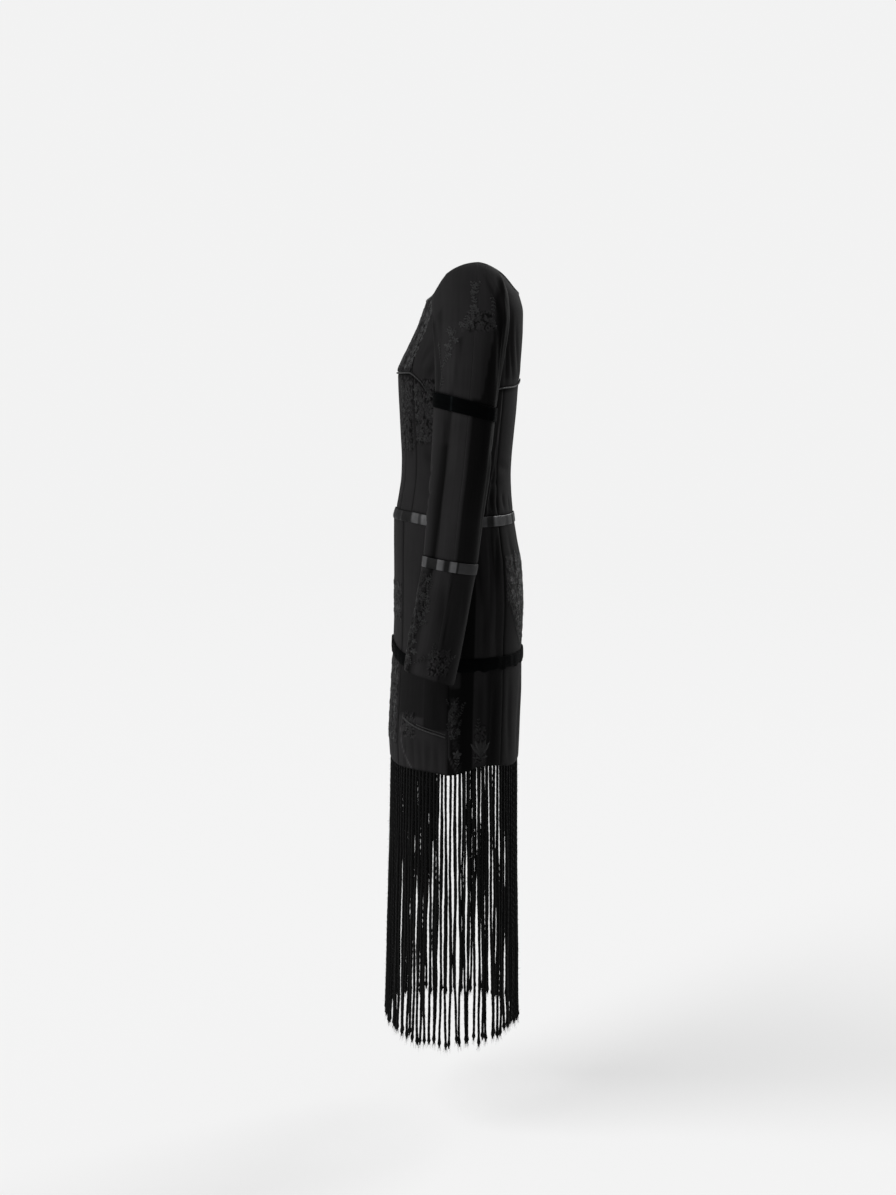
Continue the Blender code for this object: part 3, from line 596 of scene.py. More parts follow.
def body_point(turn, level):
    """Points of the body's cloth."""
    turn, level = np.broadcast_arrays(np.asarray(turn, float), np.asarray(level, float))
    front, back, middle, half_width, fullness = BODY(level)
    across, ahead = oval(np.radians(turn), fullness)
    depth = np.where(ahead > 0, middle - front, back - middle)
    return np.stack([half_width * across, middle - depth * ahead, level], axis=-1)


def body_frame(turn, level):
    """Points of the body's cloth, their outward directions and the metres in one degree of turn."""
    around = body_point(turn + 0.5, level) - body_point(turn - 0.5, level)
    upward = body_point(turn, level + 0.001) - body_point(turn, level - 0.001)
    return body_point(turn, level), unit(np.cross(around, upward)), np.linalg.norm(around, axis=-1)


def ring_point(rows, level, angle):
    """Points of arm rings: angle 0 is outermost and 90 is the front."""
    out, middle, half_width, half_depth, tilt = rows
    ahead, aside = oval(np.radians(angle), SLEEVE_FULLNESS)
    forward = half_depth * ahead
    drop = forward * np.tan(np.radians(tilt))
    return np.stack([out + half_width * aside, middle - forward, level + drop], axis=-1)


def column_angle(column):
    """Arm angle of a sleeve column."""
    return np.interp(column, COLUMN_ENDS, COLUMN_ANGLES)


def arm_row(column, share):
    """Points of the sleeve, from the velvet band at 0 to the cuff at 1."""
    level = mix(BAND_LEVEL, CUFF_LEVEL, share)
    return ring_point(ARM(level), level, column_angle(column))


def armhole_mark(column):
    """Turn and level of the sleeve's upper edge."""
    front, top, back = COLUMN_ENDS[1], COLUMN_ENDS[2], COLUMN_ENDS[3]
    low_front = ARMHOLE_FRONT(column / front)
    low_back = ARMHOLE_BACK((SLEEVE_COLUMNS - column) / (SLEEVE_COLUMNS - back))
    over = np.interp(column, (front, top, back), (ARM_FRONT_TURN, SIDE_TURN, ARM_BACK_TURN))
    turn = np.where(column <= front, low_front[0], np.where(column <= back, over, low_back[0]))
    level = np.where(column <= front, low_front[1], np.where(column <= back, level_at(NECKLINE, over), low_back[1]))
    return turn, level


def head_point(column, share):
    """Points of the sleeve head, from the armhole at 0 to the velvet band at 1."""
    column, share = np.broadcast_arrays(np.asarray(column, float), np.asarray(share, float))
    out, forward, up = HEAD_DIRECTIONS(column)
    away = unit(np.stack([out, -forward, up], axis=-1))
    start = body_point(*armhole_mark(column)) + away * RAISED_START
    end = arm_row(column, np.zeros_like(share))
    down = unit(arm_row(column, np.full_like(share, 0.02 / (BAND_LEVEL - CUFF_LEVEL))) - end)
    chord = np.linalg.norm(end - start, axis=-1, keepdims=True)
    return smooth_way(share[..., None], start, chord * HEAD_START * away, end, chord * HEAD_END * down)


print("chest girth:", round(float(sum(body_frame(np.arange(0.5, 360), np.full(360, -0.16))[2])), 3), "m")

# %% [markdown]
# ## Creases, listed one by one
#
# A worn dress creases where it is pulled: behind the armhole, at the waist, inside the elbow and at the hem. Each
# crease is one row: where it starts and ends, how wide and deep it is, and how far it bows. A negative depth makes
# a ridge. The hidden side has the same creases, a little shifted, since both sides are pulled alike.

# %% Crease tables
CREASE = "turn level_mm end_turn end_level_mm half_width_mm depth_mm bow_mm"
BODY_CREASES = table(
    CREASE,
    (122, -70, 126, -200, 5, 3.4, 2), (127, -62, 137, -202, 4.5, 3.8, -3), (133, -78, 148, -196, 5, 3, 4),
    (141, -96, 160, -188, 6, 2, 2), (117, -150, 119, -208, 3.5, 2.2, 0), (62, -125, 52, -170, 7, 1.3, 2),
    (70, -165, 56, -196, 6, 1.2, -2), (41, -236, 39, -318, 3.2, 3.4, 1), (60, -300, 63, -352, 6, 1, 2),
    (52, -318, 84, -326, 8, 1.2, 4), (98, -300, 128, -322, 6, 2.2, 5), (94, -338, 133, -345, 7, 2.6, 4),
    (104, -362, 141, -366, 5.5, 2, -3), (130, -330, 158, -341, 8, 1.8, 3), (128, -240, 121, -372, 4, -2, 2),
    (126, -378, 127, -412, 3.5, 1.7, 0), (134, -384, 135, -414, 3, 1.4, 1), (143, -380, 146, -412, 4, 1.8, 1),
    (155, -388, 156, -413, 4, 1.2, 0), (110, -442, 116, -575, 6, 2.8, 3), (123, -440, 121, -590, 5, 2.4, -2),
    (131, -446, 127, -540, 4.5, 2, 2), (117, -560, 118, -648, 7, 2.2, 1), (147, -440, 154, -560, 7, 1.6, 3),
    (166, -450, 160, -600, 9, 1.4, -3), (66, -438, 60, -640, 8, 1.6, 4), (80, -442, 84, -640, 9, 2.2, -3),
    (95, -450, 101, -640, 7, 2.4, 2), (18, -440, 14, -600, 8, 1, 2), (114, -680, 117, -800, 6, 2.4, 2),
    (104, -690, 103, -842, 8, 2.2, 2), (126, -690, 124, -842, 6, 2, -2), (142, -680, 146, -842, 8, 1.6, 3),
    (163, -690, 160, -842, 9, 1.6, 2), (78, -690, 82, -780, 8, 1.4, 2), (48, -788, 46, -846, 4, 1.4, 1),
    (55, -780, 56, -846, 4.5, 1.8, 0), (63, -786, 64, -848, 4, 1.6, 1), (71, -784, 70, -848, 5, 1.8, -1),
    (79, -795, 80, -850, 4.5, 1.4, 0), (24, -700, 27, -842, 8, 1.2, 2), (8, -690, 5, -840, 8, 1.2, 2),
)
SLEEVE_CREASES = table(
    CREASE,
    (34, -236, 44, -480, 4, 3.6, 1), (43, -500, 47, -600, 4.2, 2.2, 0), (-66, -240, -70, -470, 3, 1.2, 1),
    (-80, -250, -86, -460, 3, -1, 1), (-22, -16, -58, -85, 4, 2.2, 4), (-34, -20, -80, -100, 4, -1.8, 3),
    (-58, -60, -66, -200, 4.5, 3, 2), (-72, -70, -84, -214, 4, 2.8, -2), (-47, -110, -52, -214, 4, -1.4, 2),
    (30, -120, 24, -215, 5, -1.4, 1), (72, -60, 60, -130, 5, 1.6, 2), (96, -110, 78, -180, 6, 2.2, 3),
    (118, -150, 96, -200, 5, 2.4, 2), (44, -262, 46, -300, 3.5, -1.2, 1), (70, -330, 118, -352, 6, 2.4, 5),
    (62, -366, 122, -380, 7, 3, 6), (74, -402, 128, -398, 6, 2.6, -4), (66, -436, 104, -424, 5.5, 1.8, -4),
    (-70, -300, -112, -330, 7, 2, 3), (-84, -420, -130, -404, 6, 1.8, 3), (-40, -262, -46, -340, 4, 1.4, 1),
    (12, -500, -8, -600, 5, 1.4, 2), (-38, -510, -52, -600, 6, 1.4, 3), (86, -540, 60, -640, 6, 1.8, 2),
    (100, -560, 70, -590, 5, 1.6, 2), (20, -625, 8, -668, 5, 1.2, 1), (-20, -620, -36, -670, 5, 1.4, -1),
)
FOLD = "top_level_mm low_level_mm top_angle low_angle half_angle depth_mm"
SLEEVE_FOLDS = table(
    FOLD,
    (-210, -600, 38, 47, 24, 3.6), (-90, -420, -46, -34, 22, 3.4), (-50, -330, -91, -80, 20, 4.2),
    (-330, -560, 130, 150, 26, 2.8), (-520, -660, 5, -12, 24, 1.8),
)
FOLD_FADE = 0.6
FOLD_STEEPNESS = 2.0
LEFT, RIGHT = 1, -1

# %% Creases as depth


def beside(line, turn, level, a_degree, shift=0.0, drop=0.0):
    """Share of the way along a line, and the metres aside of it and away from its nearest point."""
    x, y = (turn - line.turn - shift) * a_degree, level - line.level - drop
    long_x, long_y = (line.end_turn - line.turn) * a_degree, line.end_level - line.level
    long = np.hypot(long_x, long_y)
    share = np.clip((x * long_x + y * long_y) / long ** 2, 0, 1)
    return share, (x * long_y - y * long_x) / long, np.hypot(x - share * long_x, y - share * long_y)


def line_band(lines, turn, level, a_degree, half_width):
    """Nearness to some lines, from 0 far away to 1 on a line."""
    near = np.zeros_like(level)
    for line in lines:
        away = beside(line, turn, level, a_degree)[2]
        near = np.maximum(near, np.exp(-(away / half_width) ** 2))
    return near


def crease_depth(creases, turn, level, a_degree, side):
    """How far the creases press the cloth in. On the right side they lie a little elsewhere."""
    pressed = np.zeros_like(level)
    for index, crease in enumerate(creases):
        elsewhere = (2.0 * math.sin(index * 2.3), 0.006 * math.sin(index * 1.7)) if side == RIGHT else (0.0, 0.0)
        share, aside, past = beside(crease, turn, level, a_degree, *elsewhere)
        aside = aside - crease.bow * np.sin(math.pi * share)
        away = np.maximum(np.abs(aside), np.where((share <= 0) | (share >= 1), past, 0))
        fading = np.sin(math.pi * np.clip(share, 0.02, 0.98)) ** 0.7
        pressed += crease.depth * fading * np.exp(-(away / crease.half_width) ** 2)
    return pressed


def fold_depth(angle, level):
    """How far the sleeve's main folds press it in."""
    pressed = np.zeros_like(level)
    for fold in SLEEVE_FOLDS:
        share = (fold.top_level - level) / (fold.top_level - fold.low_level)
        within = (share > 0) & (share < 1)
        share = np.clip(share, 0, 1)
        middle = mix(fold.top_angle, fold.low_angle, share)
        apart = ((angle - middle + 180.0) % 360.0 - 180.0) / fold.half_angle
        shape = np.sin(math.pi * share) ** FOLD_FADE * np.exp(-apart ** 2 * FOLD_STEEPNESS)
        pressed += np.where(within, fold.depth * shape, 0)
    return pressed


ARMHOLE_REACH = 0.008
ARMHOLE_FRONT_END, ARMHOLE_BACK_END, ARMHOLE_LOW_END = 25, 145, -0.215
HEAD_FADE = 0.05
CREASE_SHADE, CREASE_SHADE_DEPTH = 0.55, 0.0034
SEAM_SHADE, SEAM_SHADE_DEPTH = 0.50, 0.0012
DARKEST, LIGHTEST = 0.12, 1.3
armhole_places = np.stack(armhole_mark(np.linspace(0, SLEEVE_COLUMNS, 89)), axis=-1)


def armhole_fade(turn, level, a_degree):
    """From 0 on the armhole seam, where creases must end, to 1 away from it."""
    fade = np.ones_like(level)
    near = (turn > ARMHOLE_FRONT_END) & (turn < ARMHOLE_BACK_END) & (level > ARMHOLE_LOW_END)
    if near.any():
        x = (turn[near][:, None] - armhole_places[None, :, 0]) * a_degree[near][:, None]
        y = level[near][:, None] - armhole_places[None, :, 1]
        fade[near] = np.clip(np.hypot(x, y).min(axis=1) / ARMHOLE_REACH, 0, 1)
    return fade


def body_shell(turn, level, height, side=LEFT):
    """Points at a height over the creased cloth of the body, and the depth of its creases."""
    point, outward, a_degree = body_frame(turn, level)
    pressed = crease_depth(BODY_CREASES, np.abs(turn), level, a_degree, side)
    pressed = pressed * armhole_fade(np.abs(turn), level, a_degree)
    return point + outward * (height - pressed)[..., None], pressed


def sleeve_shell(place, column, row, height, side=LEFT):
    """Points at a height over the creased cloth of a sleeve, and the depth of its creases."""
    point = place(column, row)
    step = np.where(row < 0.5, 0.001, -0.001)
    around = place((column + 0.1) % SLEEVE_COLUMNS, row) - place((column - 0.1) % SLEEVE_COLUMNS, row)
    down = (place(column, row + step) - point) * np.sign(step)[..., None]
    outward = unit(np.cross(down, around))
    angle = column_angle(column)
    level = point[..., 2]
    pressed = fold_depth(angle, level) + crease_depth(SLEEVE_CREASES, angle, level, SLEEVE_A_DEGREE, side)
    if place is head_point:
        pressed = pressed * np.clip(row / HEAD_FADE, 0, 1)
    return point + outward * (height - pressed)[..., None], pressed


def shaded(pressed, sunk):
    """How much light reaches the bottom of creases and seams, as painted shade, and the painted highlight on ridges.
    """
    in_creases = CREASE_SHADE * np.clip(pressed / CREASE_SHADE_DEPTH, -0.5, 1.0)
    in_seams = SEAM_SHADE * np.clip(sunk / SEAM_SHADE_DEPTH, 0.0, 1.0)
    return np.clip(1.0 - in_creases - in_seams, DARKEST, LIGHTEST)


# %% [markdown]
# ## Strips and patches
#
# The dress is pieced from strips of several blacks. A patch is a slanting four-sided place on the body or the
# sleeve. Lace patches fill the lace mask. Other patches make a place lighter or darker: some give a strip its own
# black, and others are painted shade on the back, the sides and the skirt under the cuffs.

# %% Patch tables
PATCH = "top_mm low_mm top_start top_end low_start low_end value"
BODY_LACE = table(
    PATCH,
    (-184, -312, 24, 46, 16, 42, 1), (-190, -300, 46, 84, 44, 86, 1), (-530, -596, -1, 35, -1, 35, 1),
    (-664, -806, -1, 34, -1, 35, 1), (-744, -788, 41, 58, 42, 59, 1), (-716, -786, 90.5, 99, 91.5, 99.5, 1),
    (-786, -838, 92.5, 99, 97, 101, 1), (-764, -828, 110, 121, 110, 121, 1),
    (-487, -562, 137, 181, 136, 181, 1), (-558, -640, 138, 181, 158, 181, 1),
)
# Narrow rows give strips their own black; wide rows on the back and the skirt under the cuff are painted shade.
BODY_TONES_AND_SHADE = table(
    PATCH,
    (-180, -424, 124, 133, 119, 131, 0.24), (-424, -660, 124, 134, 127, 134, 0.34),
    (-424, -850, 99, 110, 99, 109, 0.06), (-424, -850, 110, 124, 109, 120, 0.72),
    (-660, -850, 121, 134, 121, 134, 0.2), (-310, -850, 0, 36, 0, 36, 0.94),
    (-190, -424, 84, 122, 84, 118, 0.6), (-424, -760, 72, 99, 72, 99, 0.62), (-655, -752, 37, 66, 37, 66, 0.42),
    (-655, -772, 66, 90, 66, 90, 0.36), (-700, -850, 90, 100, 90, 100, 0.12),
    (-12, -208, 104, 181, 104, 181, 0.5), (-190, -424, 133, 181, 131, 181, 0.8),
    (-424, -660, 134, 181, 134, 181, 0.36), (-660, -850, 134, 181, 134, 181, 0.52),
)
SLEEVE_LACE = table(
    PATCH,
    (-502, -668, 45, 120, 50, 130, 1), (-625, -668, -38, 8, -44, 6, 1), (-82, -116, -42, 8, -54, 14, 1),
)
# Sleeve strips differ partly in their own black, partly by painted shade; rows behind the arm are painted shade.
SLEEVE_TONES_AND_SHADE = table(
    PATCH,
    (-226, -500, -15, 27, -15, 38, 1.2), (-226, -500, -48, -15, -48, -15, 0.26),
    (-226, -500, -75, -48, -75, -48, 0.22), (-226, -500, -128, -75, -128, -75, 0.11),
    (-226, -500, -181, -128, -181, -128, 0.46), (-500, -700, -181, -8, -181, -20, 0.5),
    (-500, -700, -8, 34, -20, 40, 1.05), (-500, -700, 34, 181, 40, 181, 0.6),
    (20, -100, -181, -58, -181, -50, 0.28), (-100, -226, -181, -50, -181, -28, 0.24),
    (20, -226, -118, -76, -122, -72, 0.13), (-100, -226, 8, 57, 27, 57, 1.1),
    (-100, -226, 57, 76, 57, 76, 0.62),
)
LINE = "turn level_mm end_turn end_level_mm"
BODY_SHADOWS = table(
    LINE,
    (36.8, -432, 36.8, -640), (36.6, -660, 36.4, -760),
)
SLEEVE_SHADOWS = table(
    LINE,
    (34, -300, 43, -495), (36, -360, 46, -495),
)
# Lines painted lighter along the piping and some seam edges: painted highlights where they catch the light.
BODY_PIPED_HIGHLIGHTS = table(
    LINE,
    (40, -775, 42, -800), (42, -800, 46, -822), (46, -822, 53, -838), (90.6, -740, 90.6, -816),
    (90.6, -816, 97, -842), (93.2, -735, 93.2, -786), (134.6, -209, 134, -240), (134, -240, 130, -340),
    (130, -340, 123, -396), (123, -396, 121.5, -418), (40, -52, 56, -100), (56, -100, 70, -160),
)
BODY_LINES = table(
    LINE,
    (128, -190, 119, -416), (100, -424, 99, -840), (92, -780, 92, -815), (92, -815, 98, -842),
    (120, -660, 121, -838), (30, -186, 24, -410),
)
SLEEVE_LINES = table(
    LINE,
    (50, -85, 57, -205), (16, -128, 27, -226), (27, -226, 38, -500), (-15, -226, -15, -500),
    (-8, -500, -20, -672), (45, -500, 50, -672),
)

# %% Patches as masks
MASK_SOFTNESS = 0.0012
SCALLOP_STEP, SCALLOP_DEPTH = 0.0090, 0.0022


def patch_mask(patch, turn, level, a_degree, scalloped=False):
    """Share of each point inside a patch, soft over a millimetre. Lace has a scalloped edge."""
    share = np.clip((patch.top - level) / (patch.top - patch.low), 0, 1)
    start = mix(patch.top_start, patch.low_start, share)
    end = mix(patch.top_end, patch.low_end, share)
    sideways = np.minimum((turn - start) * a_degree, (end - turn) * a_degree)
    upright = np.minimum(patch.top - level, level - patch.low)
    if scalloped:
        sideways = sideways - SCALLOP_DEPTH * np.abs(np.sin(math.pi * level / SCALLOP_STEP))
        upright = upright - SCALLOP_DEPTH * np.abs(np.sin(math.pi * turn * a_degree / SCALLOP_STEP))
    inside = np.minimum(sideways, upright)
    return np.clip(inside / MASK_SOFTNESS + 0.5, 0, 1)


def lace_mask(patches, turn, level, a_degree):
    """Where lace lies."""
    found = np.zeros_like(level)
    for patch in patches:
        found = np.maximum(found, patch_mask(patch, turn, level, a_degree, True))
    return found


def strip_tone_and_shade(patches, turn, level, a_degree):
    """How light each point is, from its strip's own black and from painted shade."""
    found = np.ones_like(level)
    for patch in patches:
        found = mix(found, patch.value, patch_mask(patch, turn, level, a_degree))
    return found


# %% What a piece of cloth carries
GROOVE_DEPTH, GROOVE_HALF_WIDTH = 0.0011, 0.0024
# A painted highlight added to the lightness along the piping lines.
PIPED_HIGHLIGHT_STRENGTH, PIPED_HIGHLIGHT_HALF_WIDTH = 2.0, 0.0013
LACE_HEIGHT = 0.0004
Trim = namedtuple("Trim", "lace tones lines shadows shadow shadow_half_width piped", defaults=((),))
BODY_TRIM = Trim(BODY_LACE, BODY_TONES_AND_SHADE, BODY_LINES, BODY_SHADOWS, 0.90, 0.0022, BODY_PIPED_HIGHLIGHTS)
SLEEVE_TRIM = Trim(SLEEVE_LACE, SLEEVE_TONES_AND_SHADE, SLEEVE_LINES, SLEEVE_SHADOWS, 0.86, 0.0048)


def trimmed(trim, *where):
    """Lace, lightness with painted shade and painted highlights, and the depth of the sewn lines at some places."""
    tone = strip_tone_and_shade(trim.tones, *where) + PIPED_HIGHLIGHT_STRENGTH * line_band(trim.piped, *where, PIPED_HIGHLIGHT_HALF_WIDTH)
    tone = tone * (1 - trim.shadow * line_band(trim.shadows, *where, trim.shadow_half_width))
    return lace_mask(trim.lace, *where), tone, GROOVE_DEPTH * line_band(trim.lines, *where, GROOVE_HALF_WIDTH)


# %% [markdown]
# ## From a flat grid to a piece of cloth
#
# Each piece starts as a flat grid. Its rows and columns crowd towards its edges, where the cloth turns into the
# seam. Every point is then moved to its place on the form, and Solidify gives the cloth its thickness.

# %% Making a piece
CLOTH_SPACING = 0.0034
CLOTH_THICKNESS = 0.0011
MEETING = 0.00001
SEAM_DEPTH = 0.0012
SEAM_REACH = 0.0024
SEAM_STEPS = (0.0, 0.0008, 0.0018, 0.0032)


def graded(length):
    """Shares of a length, even in the middle and close together at both ends."""
    close = [step / length for step in SEAM_STEPS]
    inner = max(2, round((length - 2 * SEAM_STEPS[-1]) / CLOTH_SPACING))
    middle = list(np.linspace(close[-1], 1 - close[-1], inner + 1))
    return np.array(close[:-1] + middle + [1 - share for share in close[:-1][::-1]])


def flat_grid(across_shares, up_shares):
    """A flat grid with a column at each share across and a row at each share up."""
    mesh = bmesh.new()
    columns, rows = len(across_shares) - 1, len(up_shares) - 1
    bmesh.ops.create_grid(mesh, x_segments=columns, y_segments=rows, size=0.5)
    for vert in mesh.verts:
        column = round((vert.co.x + 0.5) * columns)
        row = round((vert.co.y + 0.5) * rows)
        vert.co = (across_shares[column], up_shares[row], 0.0)
    return mesh


def to_mesh(name, grid, place, side=None):
    """Move a grid's points with a placing function, and keep its flat places as the cloth's map.

    An open piece on the left faces outwards already, and its mirror image is turned over. A piece without a side is
    a loop or a tube, whose edges meet and are merged.
    """
    flat = np.array([vert.co[:] for vert in grid.verts])
    points, masks, cloth_map = place(flat[:, 0], flat[:, 1])
    for layer_name, values in masks.items():
        layer = grid.verts.layers.float.new(layer_name)
        for vert, value in zip(grid.verts, values):
            vert[layer] = value
    uv = grid.loops.layers.uv.new("Cloth")
    for vert, spot in zip(grid.verts, cloth_map):
        for loop in vert.link_loops:
            loop[uv].uv = spot
    for vert, point in zip(grid.verts, points):
        vert.co = point
    if side is None:
        bmesh.ops.remove_doubles(grid, verts=grid.verts[:], dist=MEETING)
        bmesh.ops.recalc_face_normals(grid, faces=grid.faces[:])
    elif side == RIGHT:
        bmesh.ops.reverse_faces(grid, faces=grid.faces[:])
    data = bpy.data.meshes.new(name)
    grid.to_mesh(data)
    grid.free()
    data.shade_smooth()
    return data


def add_piece(name, data, material, nodes=()):
    """Put a finished mesh in the scene, on the dress's one body."""
    data.materials.append(material)
    piece = add_object(name, data)
    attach(piece, "root")
    if nodes:
        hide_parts(*nodes)
    print(name, len(data.polygons), "faces")
    return piece


def thicken(piece, thickness=CLOTH_THICKNESS):
    """Give cloth its thickness, inwards from its outer face."""
    wall = piece.modifiers.new("thickness", "SOLIDIFY")
    wall.thickness = thickness
    wall.offset = -1.0
    wall.use_even_offset = False


def measured(place, across, up):
    """Length along rows and columns of a piece, and its area, from its placed points."""
    grid_across, grid_up = np.meshgrid(across, up)
    points = place(grid_across.ravel(), grid_up.ravel())[0].reshape(len(up), len(across), 3)
    rows = np.linalg.norm(np.diff(points, axis=1), axis=-1)
    columns = np.linalg.norm(np.diff(points, axis=0), axis=-1)
    area = np.cross(points[1:, :-1] - points[:-1, :-1], points[:-1, 1:] - points[:-1, :-1])
    return rows.sum(axis=1).max(), columns.sum(axis=0).max(), np.linalg.norm(area, axis=-1).sum()


def cloth(name, place, size, material, slot, node, side, hangs_from=()):
    """A whole piece of cloth from a placing function and its rough width and length."""
    across, up = graded(size[0]), graded(size[1])
    width, length, area = measured(place, across, up)
    data = to_mesh(name, flat_grid(across, up), place, side)
    piece = add_piece(name, data, material, (node,))
    thicken(piece)
    flat = (round(width, 3), round(length, 3))
    area = round(min(area, 0.999 * flat[0] * flat[1]), 5)
    print("  cut", flat[0], "by", flat[1], "m")
    return piece


def border_dip(across, up, size, first=1.0, last=1.0):
    """How far the cloth turns in at its seams. A first or last side of 0 has no seam to be seen."""
    def dip(away, share):
        return share * SEAM_DEPTH * np.exp(-(away / SEAM_REACH) ** 2)

    sides = np.maximum(dip(across * size[0], first), dip((1 - across) * size[0], last))
    return np.maximum(sides, np.maximum(dip(up * size[1], 1.0), dip((1 - up) * size[1], 1.0)))


# %% [markdown]
# ## Body pieces
#
# Panels of the midriff and skirt are ruled between two seams and two lines round the body. Bodice pieces have four
# curved edges, so they are filled as a Coons patch: the sum of the two ways across, less the corners.

# %% Placing body cloth
CLOTH_MAP_A_DEGREE = 0.0024
BUST_SHADOW, BUST_SHADOW_BELOW, BUST_SHADOW_HALF_WIDTH = 0.95, 0.0042, 0.0032


def on_body(turn, level, across, up, size, side, all_lace=False):
    """Points, masks and cloth map of body cloth."""
    a_degree = body_frame(turn, level)[2]
    lace, tone, sewn = trimmed(BODY_TRIM, np.abs(turn), level, a_degree)
    lace = np.ones_like(level) if all_lace else lace
    sunk = border_dip(across, up, size) + sewn
    shell, pressed = body_shell(turn, level, lace * LACE_HEIGHT - sunk, side)
    shell[..., 0] *= side
    below = level_at(UNDERBUST, turn) - level
    tone = tone * (1 - BUST_SHADOW * np.exp(-((below - BUST_SHADOW_BELOW) / BUST_SHADOW_HALF_WIDTH) ** 2))
    cloth_map = np.stack([turn * CLOTH_MAP_A_DEGREE * side, level], axis=-1)
    return shell, {"lace": lace, "tone": tone * shaded(pressed, sunk)}, cloth_map


def panel(name, turns, top, bottom, node, slot, side=LEFT, hangs_from=()):
    """A body piece between two upright seams and two lines."""
    middle = (turns[0] + turns[1]) / 2
    length = float(level_at(top, middle) - level_at(bottom, middle))
    size = (abs(turns[1] - turns[0]) * CLOTH_MAP_A_DEGREE, length)

    def place(across, up):
        turn = mix(turns[0], turns[1], across)
        level = mix(level_at(bottom, turn), level_at(top, turn), up)
        return on_body(turn, level, across, up, size, side)

    return cloth(name, place, size, crepe, slot, node, side, hangs_from)


def coons(edges, across, up):
    """Turn and level inside four edges, given as left, right, bottom and top."""
    left, right, bottom, top = edges
    zero, one = np.zeros_like(across), np.ones_like(across)
    found = []
    for axis in (0, 1):
        sideways = mix(left(up)[axis], right(up)[axis], across)
        upright = mix(bottom(across)[axis], top(across)[axis], up)
        low = mix(bottom(zero)[axis], bottom(one)[axis], across)
        high = mix(top(zero)[axis], top(one)[axis], across)
        found.append(sideways + upright - mix(low, high, up))
    return found


def bodice(name, edges, size, node, slot, side=LEFT, all_lace=False):
    """A bodice piece inside four edges."""
    def place(across, up):
        turn, level = coons(edges, across, up)
        return on_body(turn, level, across, up, size, side, all_lace)

    return cloth(name, place, size, crepe, slot, node, side)


def strip_seam(share):
    """The seam beside the front strip."""
    turn = STRIP_SEAM(share)[0]
    return turn, mix(level_at(UNDERBUST, turn), level_at(NECKLINE, turn), share)


def strip_seam_right(share):
    """The same seam on the other side."""
    turn, level = strip_seam(share)
    return -turn, level


def side_and_armhole(armhole):
    """The side seam, and then the armhole above it."""
    def edge(share):
        low = mix(level_at(UNDERBUST, np.full_like(share, SIDE_TURN)), UNDERARM_LEVEL, share / SIDE_SEAM_SHARE)
        turn, level = armhole(np.clip((share - SIDE_SEAM_SHARE) / (1 - SIDE_SEAM_SHARE), 0, 1))
        below = share < SIDE_SEAM_SHARE
        return np.where(below, SIDE_TURN, turn), np.where(below, low, level)
    return edge


def centre_back(share):
    """The centre-back seam above the under-bust line."""
    turn = np.full_like(share, BACK_TURN)
    return turn, mix(level_at(UNDERBUST, turn), level_at(NECKLINE, turn), share)


def along_line(line, start, end):
    """Part of a line round the body."""
    def edge(share):
        turn = mix(start, end, share)
        return turn, level_at(line, turn)
    return edge


# %% Bodice
SIDES = {"left": LEFT, "right": RIGHT}
front_edges = (
    strip_seam_right,
    strip_seam,
    along_line(UNDERBUST, -STRIP_LOW, STRIP_LOW),
    along_line(NECKLINE, -STRIP_HIGH, STRIP_HIGH),
)
side_edges = (
    strip_seam,
    side_and_armhole(ARMHOLE_FRONT),
    along_line(UNDERBUST, STRIP_LOW, SIDE_TURN),
    along_line(NECKLINE, STRIP_HIGH, ARM_FRONT_TURN),
)
back_edges = (
    side_and_armhole(ARMHOLE_BACK),
    centre_back,
    along_line(UNDERBUST, SIDE_TURN, BACK_TURN),
    along_line(NECKLINE, ARM_BACK_TURN, BACK_TURN),
)
bodice("bodice_front", front_edges, (0.16, 0.145), "yoke_front", "floral_lace", all_lace=True)
for word, side in SIDES.items():
    bodice("bodice_side_" + word, side_edges, (0.11, 0.17), "yoke_side_" + word, "crepe", side)
    bodice("bodice_back_" + word, back_edges, (0.20, 0.18), "yoke_back_" + word, "crepe", side)

# %% Midriff and skirt
front_turns = (-WAIST_FRONT_TURN, WAIST_FRONT_TURN)
panel("midriff_front", front_turns, UNDERBUST, WAIST_SEAM, "waist_front", "floral_lace", LEFT, ("bodice_front",))
front_turns = (-SIDE_FRONT_TURN, SIDE_FRONT_TURN)
panel("hip_front", front_turns, WAIST_SEAM, HEM, "skirt_front", "crepe", LEFT, ("midriff_front",))
PANELS = (
    ("midriff_side_", (WAIST_FRONT_TURN, BACK_STRIP_TURN), UNDERBUST, WAIST_SEAM, "waist_side_", "bodice_side_"),
    ("midriff_back_", (BACK_STRIP_TURN, BACK_TURN), UNDERBUST, WAIST_SEAM, "waist_back_", "bodice_back_"),
    ("hip_side_front_", (SIDE_FRONT_TURN, SIDE_TURN), WAIST_SEAM, HEM, "skirt_side_front_", "midriff_side_"),
    ("hip_side_back_", (SIDE_TURN, BACK_STRIP_TURN), WAIST_SEAM, HEM, "skirt_side_back_", "midriff_side_"),
    ("hip_back_", (BACK_STRIP_TURN, BACK_TURN), WAIST_SEAM, HEM, "skirt_back_", "midriff_back_"),
)
for word, side in SIDES.items():
    for name, turns, top, bottom, node, above in PANELS:
        panel(name + word, turns, top, bottom, node + word, "crepe", side, (above + word,))

# %% [markdown]
# ## Sleeves
#
# A sleeve is cut in a front and a back, and its two bands part it into head, middle and cuff. The long soft fold
# down its front is the deepest form on it, and the creases inside the elbow are the sharpest.

